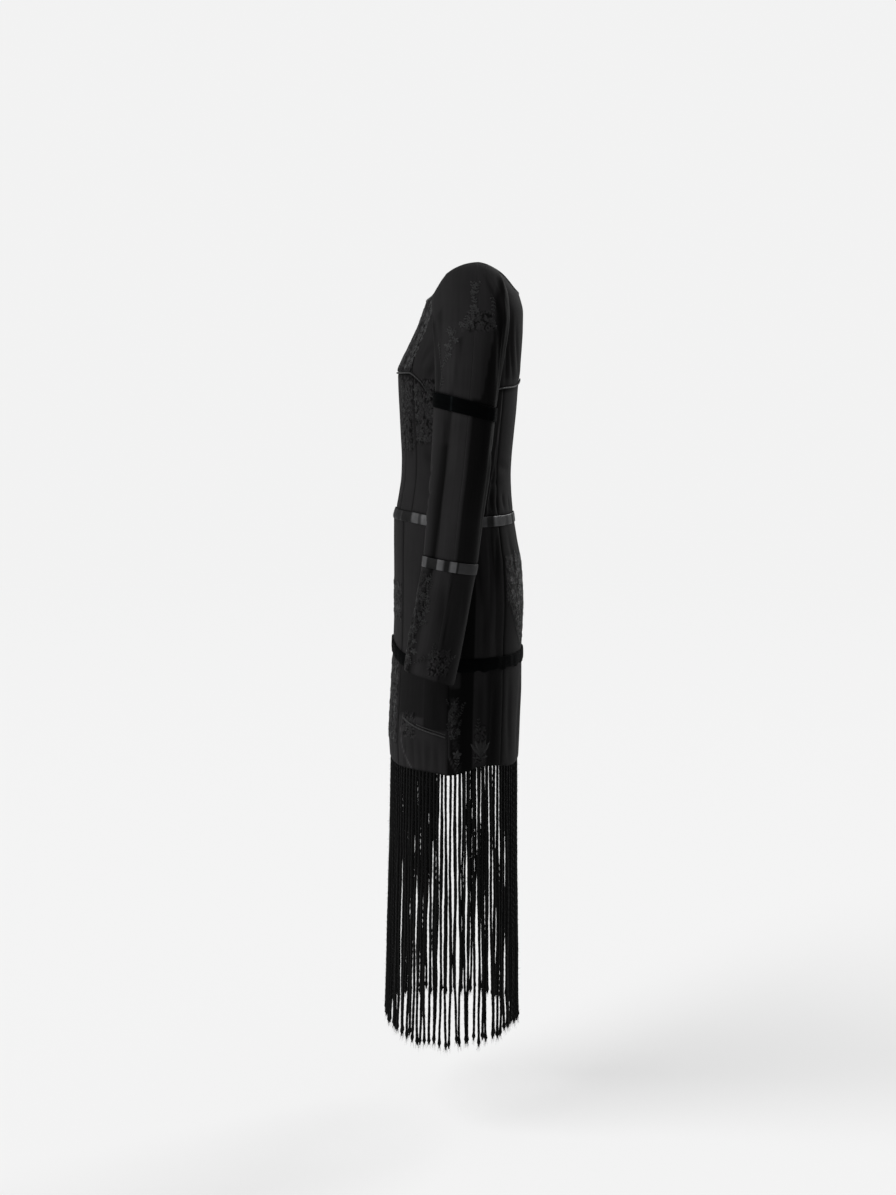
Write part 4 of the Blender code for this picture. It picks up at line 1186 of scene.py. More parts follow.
# %% Sleeve pieces
SLEEVE_WIDTH = 0.145
Stretch = namedtuple("Stretch", "name node place start end length")
satin_share = (BAND_LEVEL - SATIN_ARM_LEVEL) / (BAND_LEVEL - CUFF_LEVEL)
STRETCHES = (
    Stretch("sleeve_top_", "sleeve_head_", head_point, 0.0, 1.0, 0.20),
    Stretch("sleeve_middle_", "sleeve_mid_", arm_row, 0.0, satin_share, 0.26),
    Stretch("sleeve_end_", "sleeve_cuff_", arm_row, satin_share, 1.0, 0.19),
)
HALVES = {"front": (0, SLEEVE_FRONT_COLUMNS), "back": (SLEEVE_FRONT_COLUMNS, SLEEVE_COLUMNS)}


def sleeve(name, node, stretch, columns, side, hangs_from):
    """One piece of a sleeve."""
    size = (SLEEVE_WIDTH, stretch.length)

    def place(across, up):
        column = mix(columns[0], columns[1], across)
        row = mix(stretch.end, stretch.start, up)
        point = stretch.place(column, row)
        angle, level = column_angle(column), point[..., 2]
        lace, tone, sewn = trimmed(SLEEVE_TRIM, angle, level, SLEEVE_A_DEGREE)
        over_arm = (1.0, 0.0) if columns[0] == 0 else (0.0, 1.0)
        sunk = border_dip(across, up, size, *over_arm) + sewn
        shell, pressed = sleeve_shell(stretch.place, column, row, lace * LACE_HEIGHT - sunk, side)
        shell[..., 0] *= side
        cloth_map = np.stack([angle * SLEEVE_A_DEGREE * side + 2.0, level], axis=-1)
        return shell, {"lace": lace, "tone": tone * shaded(pressed, sunk)}, cloth_map

    return cloth(name, place, size, sleeve_crepe, "crepe", node, side, hangs_from)


for word, side in SIDES.items():
    for half, columns in HALVES.items():
        above = ()
        for stretch in STRETCHES:
            ending = half + "_" + word
            made = sleeve(stretch.name + ending, stretch.node + ending, stretch, columns, side, above)
            above = (made.name,)

# %% [markdown]
# ## Ribbons and piping
#
# A ribbon is a closed loop of a flat oval section that follows the creased cloth. Its section is drawn once as a
# ring of points, and the grid wraps twice: once round the section and once round the body.

# %% Loops round the body and the arm
RIBBON_LIFT = 0.0003
RIBBON_SQUARENESS = 4.0
FLAT_FROM = 0.010
RIBBON_SIDES, ROLL_SIDES = 16, 10
BODY_STEPS, ARM_STEPS, NECK_STEPS, SLANT_STEPS = 420, 180, 360, 60
BODY_GIRTH, ARM_GIRTH = 0.86, 0.28


def loop_mesh(name, section_count, along_count, place):
    """A tube that closes on itself, or that is drawn to a point at both ends."""
    around = np.linspace(0, 1, section_count + 1)
    along = np.linspace(0, 1, along_count + 1)
    return to_mesh(name, flat_grid(around, along), place)


def section(around, squareness=RIBBON_SQUARENESS):
    """Place across a flat oval section, from -1 to 1, and its height, from 0 to 1."""
    across, up = oval(around * 2 * math.pi, squareness)
    return across, 0.5 + up / 2


def whole_turn(share):
    """Turn on the left half and the side, for a share of the way round the body."""
    turn = share * 360.0
    over = turn > 180.0
    return np.where(over, 360.0 - turn, turn), np.where(over, -1.0, 1.0)


def body_loop(name, line, width, centre, thickness, material, node, tones=None, ripple=0.0, pucker=0.0):
    """A ribbon or piping round the body, below or across a line."""
    flat = width > FLAT_FROM

    def place(around, along):
        across, high = section(around, RIBBON_SQUARENESS if flat else 2.0)
        turn, side = whole_turn(along)
        angle = np.radians(turn)
        wobble = np.sin(angle * 23 + side) + 0.7 * np.sin(angle * 41 + 3 * side)
        strength = pucker * np.clip((turn - 60) / 60, 0.2, 1) * (1 - 0.6 * across)
        level = level_at(line, turn) + centre + across * width / 2 + strength * wobble
        waves = ripple * (np.sin(angle * 31 + side) + 0.6 * np.sin(angle * 53 + 2 * side))
        height = RIBBON_LIFT + thickness * high + waves * high
        left, right = (body_shell(turn, level, height, each)[0] for each in (LEFT, RIGHT))
        shell = np.where((side > 0)[..., None], left, right)
        shell[..., 0] *= side
        tone = np.ones_like(turn) if tones is None else tones(turn)[0]
        cloth_map = (along * BODY_GIRTH, across * width / 2) if flat else (around, along * BODY_GIRTH)
        return shell, {"tone": tone}, np.stack(cloth_map, axis=-1)

    data = loop_mesh(name, RIBBON_SIDES if flat else ROLL_SIDES, BODY_STEPS, place)
    return add_piece(name, data, material, (node,))


# Lightness along each ribbon. On the satin, bright stretches are painted reflections and dull ones painted shade.
STRIPE = "turn tone"
WAIST_PAINTED_SHEEN_AND_SHADE = Reader(table(
    STRIPE,
    (0, 1), (9, 1.8), (17, 1.2), (24, 0.6), (28, 0.9), (33, 1), (35, 0.35), (47, 0.4), (49, 4.2), (54.5, 4.8),
    (56, 1.3), (58, 1.5), (59.5, 5.6), (64, 5), (66, 0.7), (80, 1.6), (86, 1), (96, 2.8), (101, 0.9), (115, 1),
    (117, 3.6), (120, 3.8), (121.5, 0.5), (127, 0.6), (129, 4.4), (141, 4.8), (143, 1.2), (150, 3), (156, 3.2),
    (159, 0.8), (168, 2.4), (174, 2.6), (180, 1.2),
))
ARM_PAINTED_SHEEN_AND_SHADE = Reader(table(
    STRIPE,
    (-180, 1.2), (-140, 2.2), (-120, 0.8), (-96, 2.6), (-80, 1), (-62, 1.6), (-36, 2), (-20, 2.2), (-17, 0.5),
    (-15, 0.6), (-13, 6.2), (-2, 6.4), (1, 0.4), (12, 0.3), (14, 5.4), (26, 5.6), (29, 0.3), (56, 0.3),
    (60, 4.6), (74, 4.4), (80, 0.8), (110, 2), (140, 0.9), (180, 1.2),
))
VELVET_TONES = Reader(table(
    STRIPE,
    (-180, 1), (-50, 1), (-46, 2), (-44, 0.6), (25.5, 1.2), (27, 9), (28.5, 1), (180, 1),
))
SATIN_WIDTH, VELVET_WIDTH, VELVET_HIP_WIDTH = 0.0168, 0.0235, 0.0215
SATIN_THICKNESS, VELVET_THICKNESS = 0.0011, 0.0024
PIPING_WIDTH, PIPING_THICKNESS = 0.0026, 0.0024
body_loop("waist_ribbon", WAIST_SEAM, SATIN_WIDTH, -SATIN_WIDTH / 2, SATIN_THICKNESS, satin, "satin_waist",
          WAIST_PAINTED_SHEEN_AND_SHADE, ripple=0.0004)
body_loop("hip_ribbon", HIP_RIBBON, VELVET_HIP_WIDTH, -VELVET_HIP_WIDTH / 2, VELVET_THICKNESS, velvet,
          "velvet_hip", ripple=0.0003, pucker=0.0009)
body_loop("bust_piping", UNDERBUST, PIPING_WIDTH, 0.0, PIPING_THICKNESS, piping, "piping_underbust")

# %% Bands round the sleeves


def arm_loop(name, level, width, thickness, material, node, side, tones):
    """A band round a sleeve, below a level."""
    def place(around, along):
        across, high = section(around)
        column = along * SLEEVE_COLUMNS
        share = (BAND_LEVEL - level + width / 2 - across * width / 2) / (BAND_LEVEL - CUFF_LEVEL)
        shell, _ = sleeve_shell(arm_row, column, share, RIBBON_LIFT + thickness * high, side)
        shell[..., 0] *= side
        cloth_map = np.stack([along * ARM_GIRTH, across * width / 2], axis=-1)
        return shell, {"tone": tones(column_angle(column))[0]}, cloth_map

    return add_piece(name, loop_mesh(name, RIBBON_SIDES, ARM_STEPS, place), material, (node,))


for word, side in SIDES.items():
    arm_loop("upper_arm_ribbon_" + word, BAND_LEVEL, VELVET_WIDTH, VELVET_THICKNESS, velvet,
             "velvet_arm_" + word, side, VELVET_TONES)
    arm_loop("forearm_ribbon_" + word, SATIN_ARM_LEVEL, SATIN_WIDTH, SATIN_THICKNESS, satin,
             "satin_arm_" + word, side, ARM_PAINTED_SHEEN_AND_SHADE)

# %% Slanting piping on each side front


def slanting_piping(name, side, start, rise, radius, nodes):
    """A thin roll that slants over a side front."""
    def place(around, along):
        across, up = oval(around * 2 * math.pi, 2.0)
        turn, level = HIP_PIPING(mix(start, 1.0, along))
        shrink = np.clip(np.minimum(along, 1 - along) * 60, 0, 1) ** 0.5
        height = RIBBON_LIFT + radius * (1 + up * shrink)
        shell, _ = body_shell(turn, level + rise + across * radius * shrink, height, side)
        shell[..., 0] *= side
        return shell, {}, np.stack([around, along * 0.12], axis=-1)

    add_piece(name, loop_mesh(name, ROLL_SIDES, SLANT_STEPS, place), piping, nodes)


for word, side in SIDES.items():
    slanting_piping("hip_piping_" + word, side, 0.0, 0.0, 0.0013, ("piping_hip_" + word,))
    slanting_piping("hip_piping_above_" + word, side, 0.32, 0.0046, 0.0009, ())

# %% [markdown]
# ## Tape inside the armholes
#
# A sleeve is set into its armhole, and a narrow tape inside covers the raw edges of both. It also keeps the light
# from showing through the seam.

# %% Armhole tapes
TAPE_WIDTH = 0.0100
TAPE_DEPTH_IN = 0.0016
TAPE_THICKNESS = 0.0005
TAPE_TONE = 0.5


def armhole_tape(name, side):
    """A closed strip that lies inside an armhole seam."""
    def place(across, along):
        column = along * (SLEEVE_COLUMNS - 1e-6)
        point = head_point(column, np.zeros_like(column))
        away = unit(head_point(column, np.full_like(column, 0.02)) - point)
        turn, level = armhole_mark(column)
        outward = body_frame(turn, level)[1]
        inside = point + away * ((across - 0.62) * TAPE_WIDTH)[..., None] - outward * TAPE_DEPTH_IN
        inside[..., 0] *= side
        cloth_map = np.stack([along * 0.6, across * TAPE_WIDTH], axis=-1)
        return inside, {"tone": np.full_like(along, TAPE_TONE)}, cloth_map

    shares = np.linspace(0, 1, 161)
    length = np.linalg.norm(np.diff(place(np.full_like(shares, 0.5), shares)[0], axis=0), axis=1).sum()
    data = to_mesh(name, flat_grid(np.linspace(0, 1, 5), shares), place, side=side)
    piece = add_piece(name, data, crepe)
    thicken(piece, TAPE_THICKNESS)
    print("  cut", TAPE_WIDTH, "by", round(float(length), 3), "m")


for word, side in SIDES.items():
    armhole_tape("armhole_tape_" + word, side)

# %% [markdown]
# ## Neckline binding
#
# The neckline is finished with a narrow roll. Its path runs along the bodice at the front and back, and over the
# top of the sleeves between them.

# %% Binding
BINDING_RADIUS = 0.0018
BINDING_RISE = 0.0003


def neck_path():
    """Points of the left half of the neckline, with their outward directions and the way into the opening."""
    front = np.linspace(0, STRIP_HIGH, 12)
    over = np.linspace(COLUMN_ENDS[1], COLUMN_ENDS[3], 25)
    back = np.linspace(ARM_BACK_TURN, BACK_TURN, 18)[1:]
    stretches = []
    for turns in (front, back):
        levels = level_at(NECKLINE, turns)
        point = body_shell(turns, levels, np.zeros_like(turns))[0]
        upward = unit(body_point(turns, levels + 0.001) - body_point(turns, levels - 0.001))
        stretches.append((point, body_frame(turns, levels)[1], upward))
    row = np.zeros_like(over)
    point = sleeve_shell(head_point, over, row, row)[0]
    outward = unit(sleeve_shell(head_point, over, row, row + 0.001)[0] - point)
    stretches.insert(1, (point, outward, unit(point - head_point(over, row + 0.02))))
    return [np.vstack(parts) for parts in zip(*stretches)]


def eased(values, times):
    """Values averaged with their neighbours a few times, ends kept."""
    for _ in range(times):
        middle = (values[:-2] + values[2:] + 2 * values[1:-1]) / 4
        values = np.vstack([values[:1], middle, values[-1:]])
    return values


path, path_out, path_in = neck_path()
path_out, path_in = unit(eased(path_out, 3)), unit(eased(path_in, 3))
path = eased(path, 1) + path_in * BINDING_RISE - path_out * CLOTH_THICKNESS / 2
loop_path, loop_out, loop_in = (
    np.vstack([half, (half * (-1, 1, 1))[-2:0:-1], half[:1]]) for half in (path, path_out, path_in)
)
travelled = np.concatenate([[0], np.cumsum(np.linalg.norm(np.diff(loop_path, axis=0), axis=1))])
print("neckline:", round(float(travelled[-1]), 3), "m round")


def along_neck(values, share):
    """Values of the neck loop at a share of its length."""
    return np.stack([np.interp(share * travelled[-1], travelled, values[:, axis]) for axis in range(3)], axis=-1)


def place_binding(around, along):
    angle = around * 2 * math.pi
    out, inward = along_neck(loop_out, along), along_neck(loop_in, along)
    offset = out * np.cos(angle)[..., None] + inward * np.sin(angle)[..., None]
    point = along_neck(loop_path, along) + offset * BINDING_RADIUS
    return point, {}, np.stack([around, along * travelled[-1]], axis=-1)


neckline = loop_mesh("neckline_roll", ROLL_SIDES, NECK_STEPS, place_binding)
add_piece("neckline_roll", neckline, piping, ("neck_binding",))

# %% [markdown]
# ## Raised flowers and leaves
#
# The lace stands up from its net, and small embroidered sprays lie on the sleeve heads, the cuffs and the skirt. A
# shader alone can't give them an edge that catches the light. So every petal and leaf is a small domed grid with a
# groove down its middle. Sprays are drawn flat in millimetres first, and then laid on the creased cloth.

# %% Sprays, laid out flat
Petal = namedtuple("Petal", "x y angle length width")
PETALS_A_FLOWER = 5
PETAL_SHAPE, FAN_SHAPE = 0.66, 0.30
STEM_WIDTH = 1.0


def flower(x, y, size, turned=0.0):
    """Five petals round a place."""
    petals = [turned + index * 360 / PETALS_A_FLOWER for index in range(PETALS_A_FLOWER)]
    return [Petal(x, y, angle, size, size * PETAL_SHAPE) for angle in petals]


def sprig(x, y, angle, length, pairs, size, bend=0.0):
    """A bent stem with leaves on both sides, which grow smaller towards its tip."""
    made = []
    step = length / pairs
    for index in range(pairs):
        way = angle + bend * index / pairs
        made.append(Petal(x, y, way, step * 1.15, STEM_WIDTH))
        x += step * math.cos(math.radians(way))
        y += step * math.sin(math.radians(way))
        uneven = 0.16 * math.sin(index * 2.7 + angle)
        leaf = size * (1.0 - 0.45 * index / pairs)
        made.append(Petal(x, y, way + 46 + 60 * uneven, leaf * (1 + uneven), leaf * 0.44))
        made.append(Petal(x, y, way - 54 + 50 * uneven, leaf * (0.9 - uneven), leaf * 0.42))
    made.append(Petal(x, y, angle + bend, size * 0.8, size * 0.32))
    return made


def fan(x, y, size, count, spread):
    """Long petals that open upwards from one place, as on a lily."""
    return [Petal(x, y, 90 + spread * (index / (count - 1) - 0.5), size, size * FAN_SHAPE) for index in range(count)]


def filled(width, height, spacing, size, seed):
    """Small flowers and leaves all over a strip of lace."""
    rng = np.random.default_rng(seed)
    made = []
    rows, columns = max(1, round(height / spacing)), max(1, round(width / spacing))
    for row in range(rows):
        for column in range(columns):
            shift = 0.5 if row % 2 else 0.0
            x = ((column + 0.25 + shift * (columns > 1)) / columns - 0.5) * width + rng.normal(0, spacing * 0.20)
            y = (0.5 - (row + 0.5) / rows) * height + rng.normal(0, spacing * 0.20)
            grown = size * rng.uniform(0.6, 1.25)
            if rng.random() < 0.45:
                made += flower(x, y, grown, rng.uniform(0, 72))
            else:
                made += sprig(x, y - grown, rng.uniform(50, 130), grown * 2.2, 3, grown * 0.85, rng.uniform(-40, 40))
    return made


# %% Where the sprays lie
# A spray's last number sets its lightness: painted light on the lit front, painted shade on the back and in shadow.
Spray = namedtuple("Spray", "turn level petals tone", defaults=(1.0,))
BODY_SPRAYS = (
    Spray(37, -118, filled(24, 112, 6.6, 4.2, 1), 1.75),
    Spray(14, -122, filled(58, 104, 9.8, 5.4, 2), 1.45),
    Spray(54, -100, sprig(0, -12, 84, 34, 6, 5.2, 8), 1.10),
    Spray(66, -148, sprig(0, -14, 96, 34, 6, 4.8, 12), 1.10),
    Spray(32, -253, filled(38, 106, 7.8, 4.2, 3), 0.55),
    Spray(56, -250, filled(34, 92, 8, 4.8, 4), 0.85),
    Spray(75, -262, filled(36, 66, 9.2, 4.8, 5), 0.85),
    Spray(17, -563, filled(80, 56, 10.5, 5.6, 6), 0.75),
    Spray(17, -735, filled(84, 130, 11.8, 6.2, 7), 0.75),
    Spray(50, -766, flower(0, 4, 9.5, 20) + sprig(-10, -18, 70, 32, 5, 8, -30)
          + sprig(10, -18, 110, 30, 5, 7.6, 34), 0.45),
    Spray(95, -750, filled(18, 64, 8.5, 5.6, 8), 0.36),
    Spray(97, -812, flower(0, 0, 8.5, 10) + sprig(0, -22, 88, 20, 4, 6.4, 10), 0.60),
    Spray(115.5, -815, fan(0, 0, 28, 5, 84) + fan(0, -4, 15, 4, 170)
          + sprig(0, -18, 90, 16, 3, 6), 0.40),
    Spray(114, -770, sprig(0, -8, 100, 22, 4, 7.4, -24), 0.40),
    Spray(157, -524, filled(92, 70, 10.5, 5.6, 9), 0.42),
    Spray(162, -580, filled(72, 34, 10, 5.4, 10), 0.42),
    Spray(167, -616, filled(50, 32, 10, 5.2, 11), 0.42),
    Spray(150, -598, sprig(0, 30, -72, 60, 8, 7, 10), 0.45),
)
HEAD_SPRAYS = (
    Spray(10.9, -48, sprig(4, -14, 104, 30, 4, 9.2, -60) + sprig(-6, -12, 66, 26, 4, 8, 60)
          + flower(1, 10, 5.8, 30) + flower(-4, -6, 5, 10), 1.1),
    Spray(10.9, -84, filled(13, 22, 6.2, 4.8, 16) + sprig(2, 12, 96, 14, 3, 7, 30)
          + sprig(-8, -4, -112, 18, 4, 6.6, 34), 1.25),
    Spray(10.4, -104, filled(22, 10, 6, 4.6, 18), 1.25),
    Spray(12.4, -100, filled(30, 16, 6.6, 4.4, 12), 0.7),
    Spray(9.35, -122, filled(13, 26, 5.8, 4.8, 15), 1.3),
    Spray(9.05, -146, filled(13, 22, 5.8, 4.8, 17) + sprig(-2, -6, -104, 20, 4, 6, -20), 1.3),
    Spray(8.25, -160, sprig(0, 30, -88, 64, 12, 3.4, 6)),
    Spray(8.2, -200, sprig(0, -6, 60, 14, 3, 5.4, 20)),
    Spray(12.9, -66, sprig(0, 14, -78, 34, 5, 7, -24)),
)
CUFF_SPRAYS = (
    Spray(10.6, -640, flower(0, 4, 8, 15) + sprig(4, 0, -30, 22, 4, 6.6, -30)
          + sprig(-4, 0, -160, 24, 4, 7, 24) + sprig(0, 6, 80, 16, 3, 6, 20), 0.45),
    Spray(12.1, -648, flower(0, 0, 6.6, 40) + sprig(3, 4, 60, 20, 4, 5.6, -24), 0.40),
    Spray(8.8, -552, filled(18, 84, 7.8, 4.8, 13), 0.60),
    Spray(7.3, -596, filled(26, 130, 9, 5.2, 14), 0.60),
)

# %% Copies of a seed mesh
COPY_STEP = 10.0


def copies(seed, count):
    """A mesh with many copies of a seed, and for each point its copy's number and its own place."""
    data = bpy.data.meshes.new("seed")
    seed.to_mesh(data)
    seed.free()
    holder = add_object("seed", data)
    array = holder.modifiers.new("copies", "ARRAY")
    array.use_relative_offset = False
    array.use_constant_offset = True
    array.constant_offset_displace = (COPY_STEP, 0.0, 0.0)
    array.count = count
    bpy.context.view_layer.update()
    evaluated = holder.evaluated_get(bpy.context.evaluated_depsgraph_get())
    joined = bpy.data.meshes.new_from_object(evaluated)
    bpy.data.objects.remove(holder, do_unlink=True)
    flat = np.empty(len(joined.vertices) * 3)
    joined.vertices.foreach_get("co", flat)
    flat = flat.reshape(-1, 3)
    number = np.round(flat[:, 0] / COPY_STEP).astype(int)
    local = flat.copy()
    local[:, 0] -= number * COPY_STEP
    return joined, number, local


def settle(data, name, points, cloth_map):
    """Give copies their points and their cloth map."""
    data.name = name
    data.vertices.foreach_set("co", np.ascontiguousarray(points, dtype=np.float32).ravel())
    loops = np.empty(len(data.loops), dtype=int)
    data.loops.foreach_get("vertex_index", loops)
    layer = data.uv_layers.new(name="Cloth")
    layer.data.foreach_set("uv", np.ascontiguousarray(cloth_map[loops], dtype=np.float32).ravel())
    data.update()
    data.shade_smooth()


# %% Laying sprays on the cloth
PETAL_RISE = 0.22
PETAL_CLEAR = 0.0002
PETAL_GRID = {"x_segments": 4, "y_segments": 3}
PETAL_COLUMNS = "turn level_mm x_mm y_mm angle length_mm width_mm tone"


def laid(sprays, to_surface, name, side):
    """All petals of some sprays as one mesh on the cloth."""
    rows = [(spray.turn, spray.level, *petal, spray.tone) for spray in sprays for petal in spray.petals]
    petals = np.array(table(PETAL_COLUMNS, *rows))
    seed = bmesh.new()
    bmesh.ops.create_grid(seed, **PETAL_GRID, size=0.5)
    data, number, local = copies(seed, len(petals))
    centre_turn, centre_level, x, y, angle, length, width, tone = petals[number].T
    share = local[:, 1] + 0.5
    outline = np.sin(math.pi * np.clip(share * 0.92 + 0.05, 0, 1)) ** 0.75
    across = local[:, 0] * width * outline
    along = share * length
    way = np.radians(angle)
    u = x + along * np.cos(way) + across * np.sin(way)
    v = y + along * np.sin(way) - across * np.cos(way)
    dome = (1 - (2 * local[:, 0]) ** 2) * np.sin(math.pi * np.clip(share, 0.03, 0.97)) ** 0.5
    groove_in = 0.45 * np.exp(-(local[:, 0] / 0.14) ** 2)
    rise = np.clip(width * 2.2, 0, 0.006) * PETAL_RISE
    height = PETAL_CLEAR + rise * dome * (1 - groove_in) - 0.0003 * (dome < 0.05)
    points = to_surface(centre_turn, centre_level, u, v, height, side)
    points[:, 0] *= side
    settle(data, name, points, np.stack([across, along], axis=-1))
    data.attributes.new("tone", "FLOAT", "POINT").data.foreach_set("value", tone)
    if side == RIGHT:
        data.flip_normals()
    add_piece(name, data, raised_thread)


def on_body_cloth(turn, level, u, v, height, side):
    """Places on the body from a spray's own plane."""
    a_degree = body_frame(turn, level)[2]
    turn = turn + u / a_degree
    return body_shell(turn, level + v, height, side)[0]


def head_share(column, level):
    """How far down the sleeve head a level lies."""
    shares = np.linspace(0, 1, 41)
    found = np.empty_like(level)
    for one in np.unique(column):
        levels = head_point(np.full_like(shares, one), shares)[:, 2]
        chosen = column == one
        order = np.argsort(levels)
        found[chosen] = np.interp(level[chosen], levels[order], shares[order])
    return found


def on_sleeve_cloth(place):
    """A function that finds places on a sleeve from a spray's own plane."""
    def find(column, level, u, v, height, side):
        if place is head_point:
            row = head_share(column, level)
        else:
            row = (BAND_LEVEL - level) / (BAND_LEVEL - CUFF_LEVEL)
        here = place(column, row)
        a_column = np.linalg.norm(place(column + 0.1, row) - here, axis=-1) / 0.1
        a_row = np.linalg.norm(place(column, row + 0.01) - here, axis=-1) / 0.01
        return sleeve_shell(place, column + u / a_column, row - v / a_row, height, side)[0]
    return find


for word, side in SIDES.items():
    laid(BODY_SPRAYS, on_body_cloth, "body_flowers_" + word, side)
    laid(HEAD_SPRAYS, on_sleeve_cloth(head_point), "shoulder_flowers_" + word, side)
    laid(CUFF_SPRAYS, on_sleeve_cloth(arm_row), "cuff_flowers_" + word, side)

# %% [markdown]
# ## The fringe
#
# Each strand is a soft two-ply yarn, fuller where its plies lie side by side. One strand is modelled, an Array
# modifier repeats it a metre apart, and each copy is then led down its own wavering path. Loose fibres are made in
# the same way.

# %% Strands
FRINGE_STRANDS = 48
STRAND_SIDES = 6
STRAND_RINGS = 130
STRAND_RADIUS = 0.0024
PLY_TURNS = 21.0
STRAND_LENGTH = 0.46
KNOT_AT, KNOT_REACH, TAPER_REACH = 0.982, 0.006, 0.012
TAPE_RISE = 0.004
HEM_HALF_DEPTH = 0.1028
SEED_RADIUS = 0.1
FRINGE_FLARE_FRONT, FRINGE_FLARE_BACK = 0.0090, 0.0020
TAPE_DEPTH = 0.0040
TAPE_TURNS = {"front": (-89.6, 89.6), "back": (90.4, 269.6)}


def strand_seed():
    """One upright closed tube: x is the share round it and y the share down it."""
    seed = bmesh.new()
    both_ends = {"segments": STRAND_SIDES, "radius1": SEED_RADIUS, "radius2": SEED_RADIUS}
    bmesh.ops.create_cone(seed, cap_ends=True, **both_ends, depth=1.0)
    upright = [edge for edge in seed.edges if abs(edge.verts[0].co.z - edge.verts[1].co.z) > 0.5]
    bmesh.ops.subdivide_edges(seed, edges=upright, cuts=STRAND_RINGS - 1, use_grid_fill=True)
    return seed


def strand_paths(name, rng):
    """Root, foot and sway of each strand of a tape."""
    start, end = TAPE_TURNS[name]
    turn = mix(start, end, (np.arange(FRINGE_STRANDS) + 0.5) / FRINGE_STRANDS)
    wrapped = (turn + 180.0) % 360.0 - 180.0
    level = level_at(HEM, wrapped) + TAPE_RISE
    point, outward, _ = body_frame(wrapped, level)
    root = point - outward * TAPE_DEPTH
    flare = np.where(root[:, 1] < 0, FRINGE_FLARE_FRONT, FRINGE_FLARE_BACK)
    foot = root.copy()
    foot[:, 1] += flare * root[:, 1] / HEM_HALF_DEPTH
    foot[:, 2] = level_at(FRINGE_ENDS, wrapped) + rng.uniform(-0.007, 0.006, FRINGE_STRANDS)
    sideways = np.stack([-root[:, 1], root[:, 0], np.zeros(len(root))], axis=-1)
    return root, foot, unit(sideways), unit(root * np.array([1.0, 1.0, 0.0]))


def strand_centre(paths, waves, number, share):
    """Centre of each strand at a share of its way down."""
    root, foot, sideways, outward = paths
    reach = share[:, None]
    straight = mix(root[number], foot[number], reach)
    phase, drift, speed = waves
    sway = drift[number] * share ** 1.3
    sway = sway + 0.0014 * share ** 0.6 * np.sin(share * speed[number] + phase[number])
    sway = sway + 0.0002 * np.sin(share * 47 + phase[number] * 3) * np.minimum(share * 4, 1)
    lean = 0.0016 * share * np.sin(share * 5 + phase[number] * 2.1)
    return straight + sideways[number] * sway[:, None] + outward[number] * lean[:, None]


def fringe(name, node, rng):
    """One tape's strands, with knotted and frayed ends."""
    paths = strand_paths(name, rng)
    clump = np.repeat(rng.uniform(-0.0030, 0.0030, FRINGE_STRANDS // 2), 2)
    drift = clump * np.tile((1.0, -1.0), FRINGE_STRANDS // 2) + rng.uniform(-0.0018, 0.0018, FRINGE_STRANDS)
    waves = (rng.uniform(0, 6.28, FRINGE_STRANDS), drift, rng.uniform(7, 15, FRINGE_STRANDS))
    data, number, local = copies(strand_seed(), FRINGE_STRANDS)
    share = np.clip(0.5 - local[:, 2], 0, 1)
    angle = np.arctan2(local[:, 1], local[:, 0])
    centre = strand_centre(paths, waves, number, share)
    phase = waves[0][number]
    twist = share * PLY_TURNS * 2 * math.pi + phase * 4
    lumps = 1 + 0.05 * np.sin(share * 31 + phase * 5) + 0.03 * np.sin(share * 83 + phase)
    radius = STRAND_RADIUS * lumps * (0.95 + 0.08 * np.cos(2 * (angle - twist)))
    knot = np.exp(-((share - KNOT_AT) / KNOT_REACH) ** 2)
    taper = np.clip((1 - share) / TAPER_REACH, 0.25, 1)
    radius = radius * (1 + 0.55 * knot) * taper
    offset = paths[2][number] * np.cos(angle)[:, None] + paths[3][number] * np.sin(angle)[:, None]
    points = centre + offset * radius[:, None]
    cloth_map = np.stack([angle / (2 * math.pi), share * STRAND_LENGTH], axis=-1)
    settle(data, "strands_" + name, points, cloth_map)
    add_piece("fringe_strands_" + name, data, yarn, (node,))
    return paths, waves


# %% Loose fibres
FIBRES_A_STRAND, FRAYED_A_STRAND = 90, 14
FIBRE_RADIUS = 0.00018


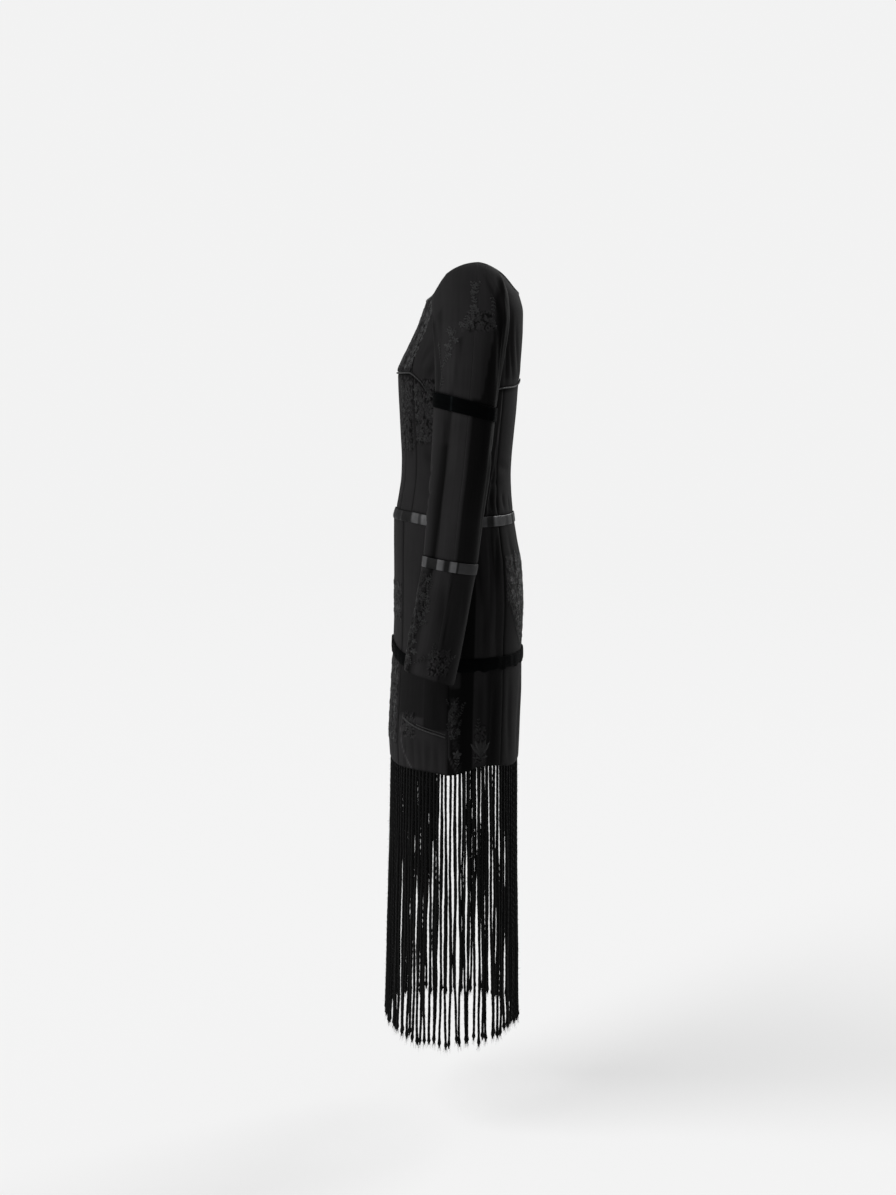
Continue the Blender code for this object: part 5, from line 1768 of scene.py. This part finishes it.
def fibre_seed():
    """A thin three-sided fibre."""
    seed = bmesh.new()
    bmesh.ops.create_cone(seed, cap_ends=True, segments=3, radius1=SEED_RADIUS, radius2=SEED_RADIUS / 5, depth=1.0)
    return seed


def fibres(name, paths, waves, rng):
    """Short fibres that stand off the yarn, and longer ones that fray below the knot."""
    total = FRINGE_STRANDS * FIBRES_A_STRAND
    data, number, local = copies(fibre_seed(), total)
    strand = np.repeat(np.arange(FRINGE_STRANDS), FIBRES_A_STRAND)
    at = rng.uniform(0.01, 0.99, total)
    frayed = np.tile(np.arange(FIBRES_A_STRAND) < FRAYED_A_STRAND, FRINGE_STRANDS)
    at = np.where(frayed, rng.uniform(0.975, 0.99, total), at)
    centre = strand_centre(paths, waves, strand, at)
    round_it = rng.uniform(0, 2 * math.pi, total)
    side, out = paths[2][strand], paths[3][strand]
    away = side * np.cos(round_it)[:, None] + out * np.sin(round_it)[:, None]
    length = np.where(frayed, rng.uniform(0.010, 0.017, total), rng.uniform(0.003, 0.006, total))
    down = np.array([0.0, 0.0, -1.0])
    steep = np.where(frayed, rng.uniform(0.9, 1.0, total), rng.uniform(-0.6, 0.8, total))
    lean = np.where(frayed, rng.uniform(0.05, 0.28, total), 0.55)
    along = unit(away * lean[:, None] + down * steep[:, None])
    start = centre + away * STRAND_RADIUS * np.where(frayed, 0.4, 0.8)[:, None]
    across = unit(np.cross(along, away + 1e-4))
    third = np.cross(along, across)
    share = local[:, 2] + 0.5
    points = start[number] + along[number] * (share * length[number])[:, None]
    points = points + (across[number] * local[:, :1] + third[number] * local[:, 1:2]) * FIBRE_RADIUS / SEED_RADIUS
    cloth_map = np.stack([local[:, 0], share * 0.01], axis=-1)
    settle(data, "fibres_" + name, points, cloth_map)
    add_piece("fringe_fibres_" + name, data, yarn)


rng = np.random.default_rng(11)
for name, node in (("front", "fringe_front"), ("back", "fringe_back")):
    paths, waves = fringe(name, node, rng)
    fibres(name, paths, waves, rng)

# %% [markdown]
# ## The end

# The dressed model may stand only a little proud of the frame's box.

# %% The end
bpy.context.view_layer.update()
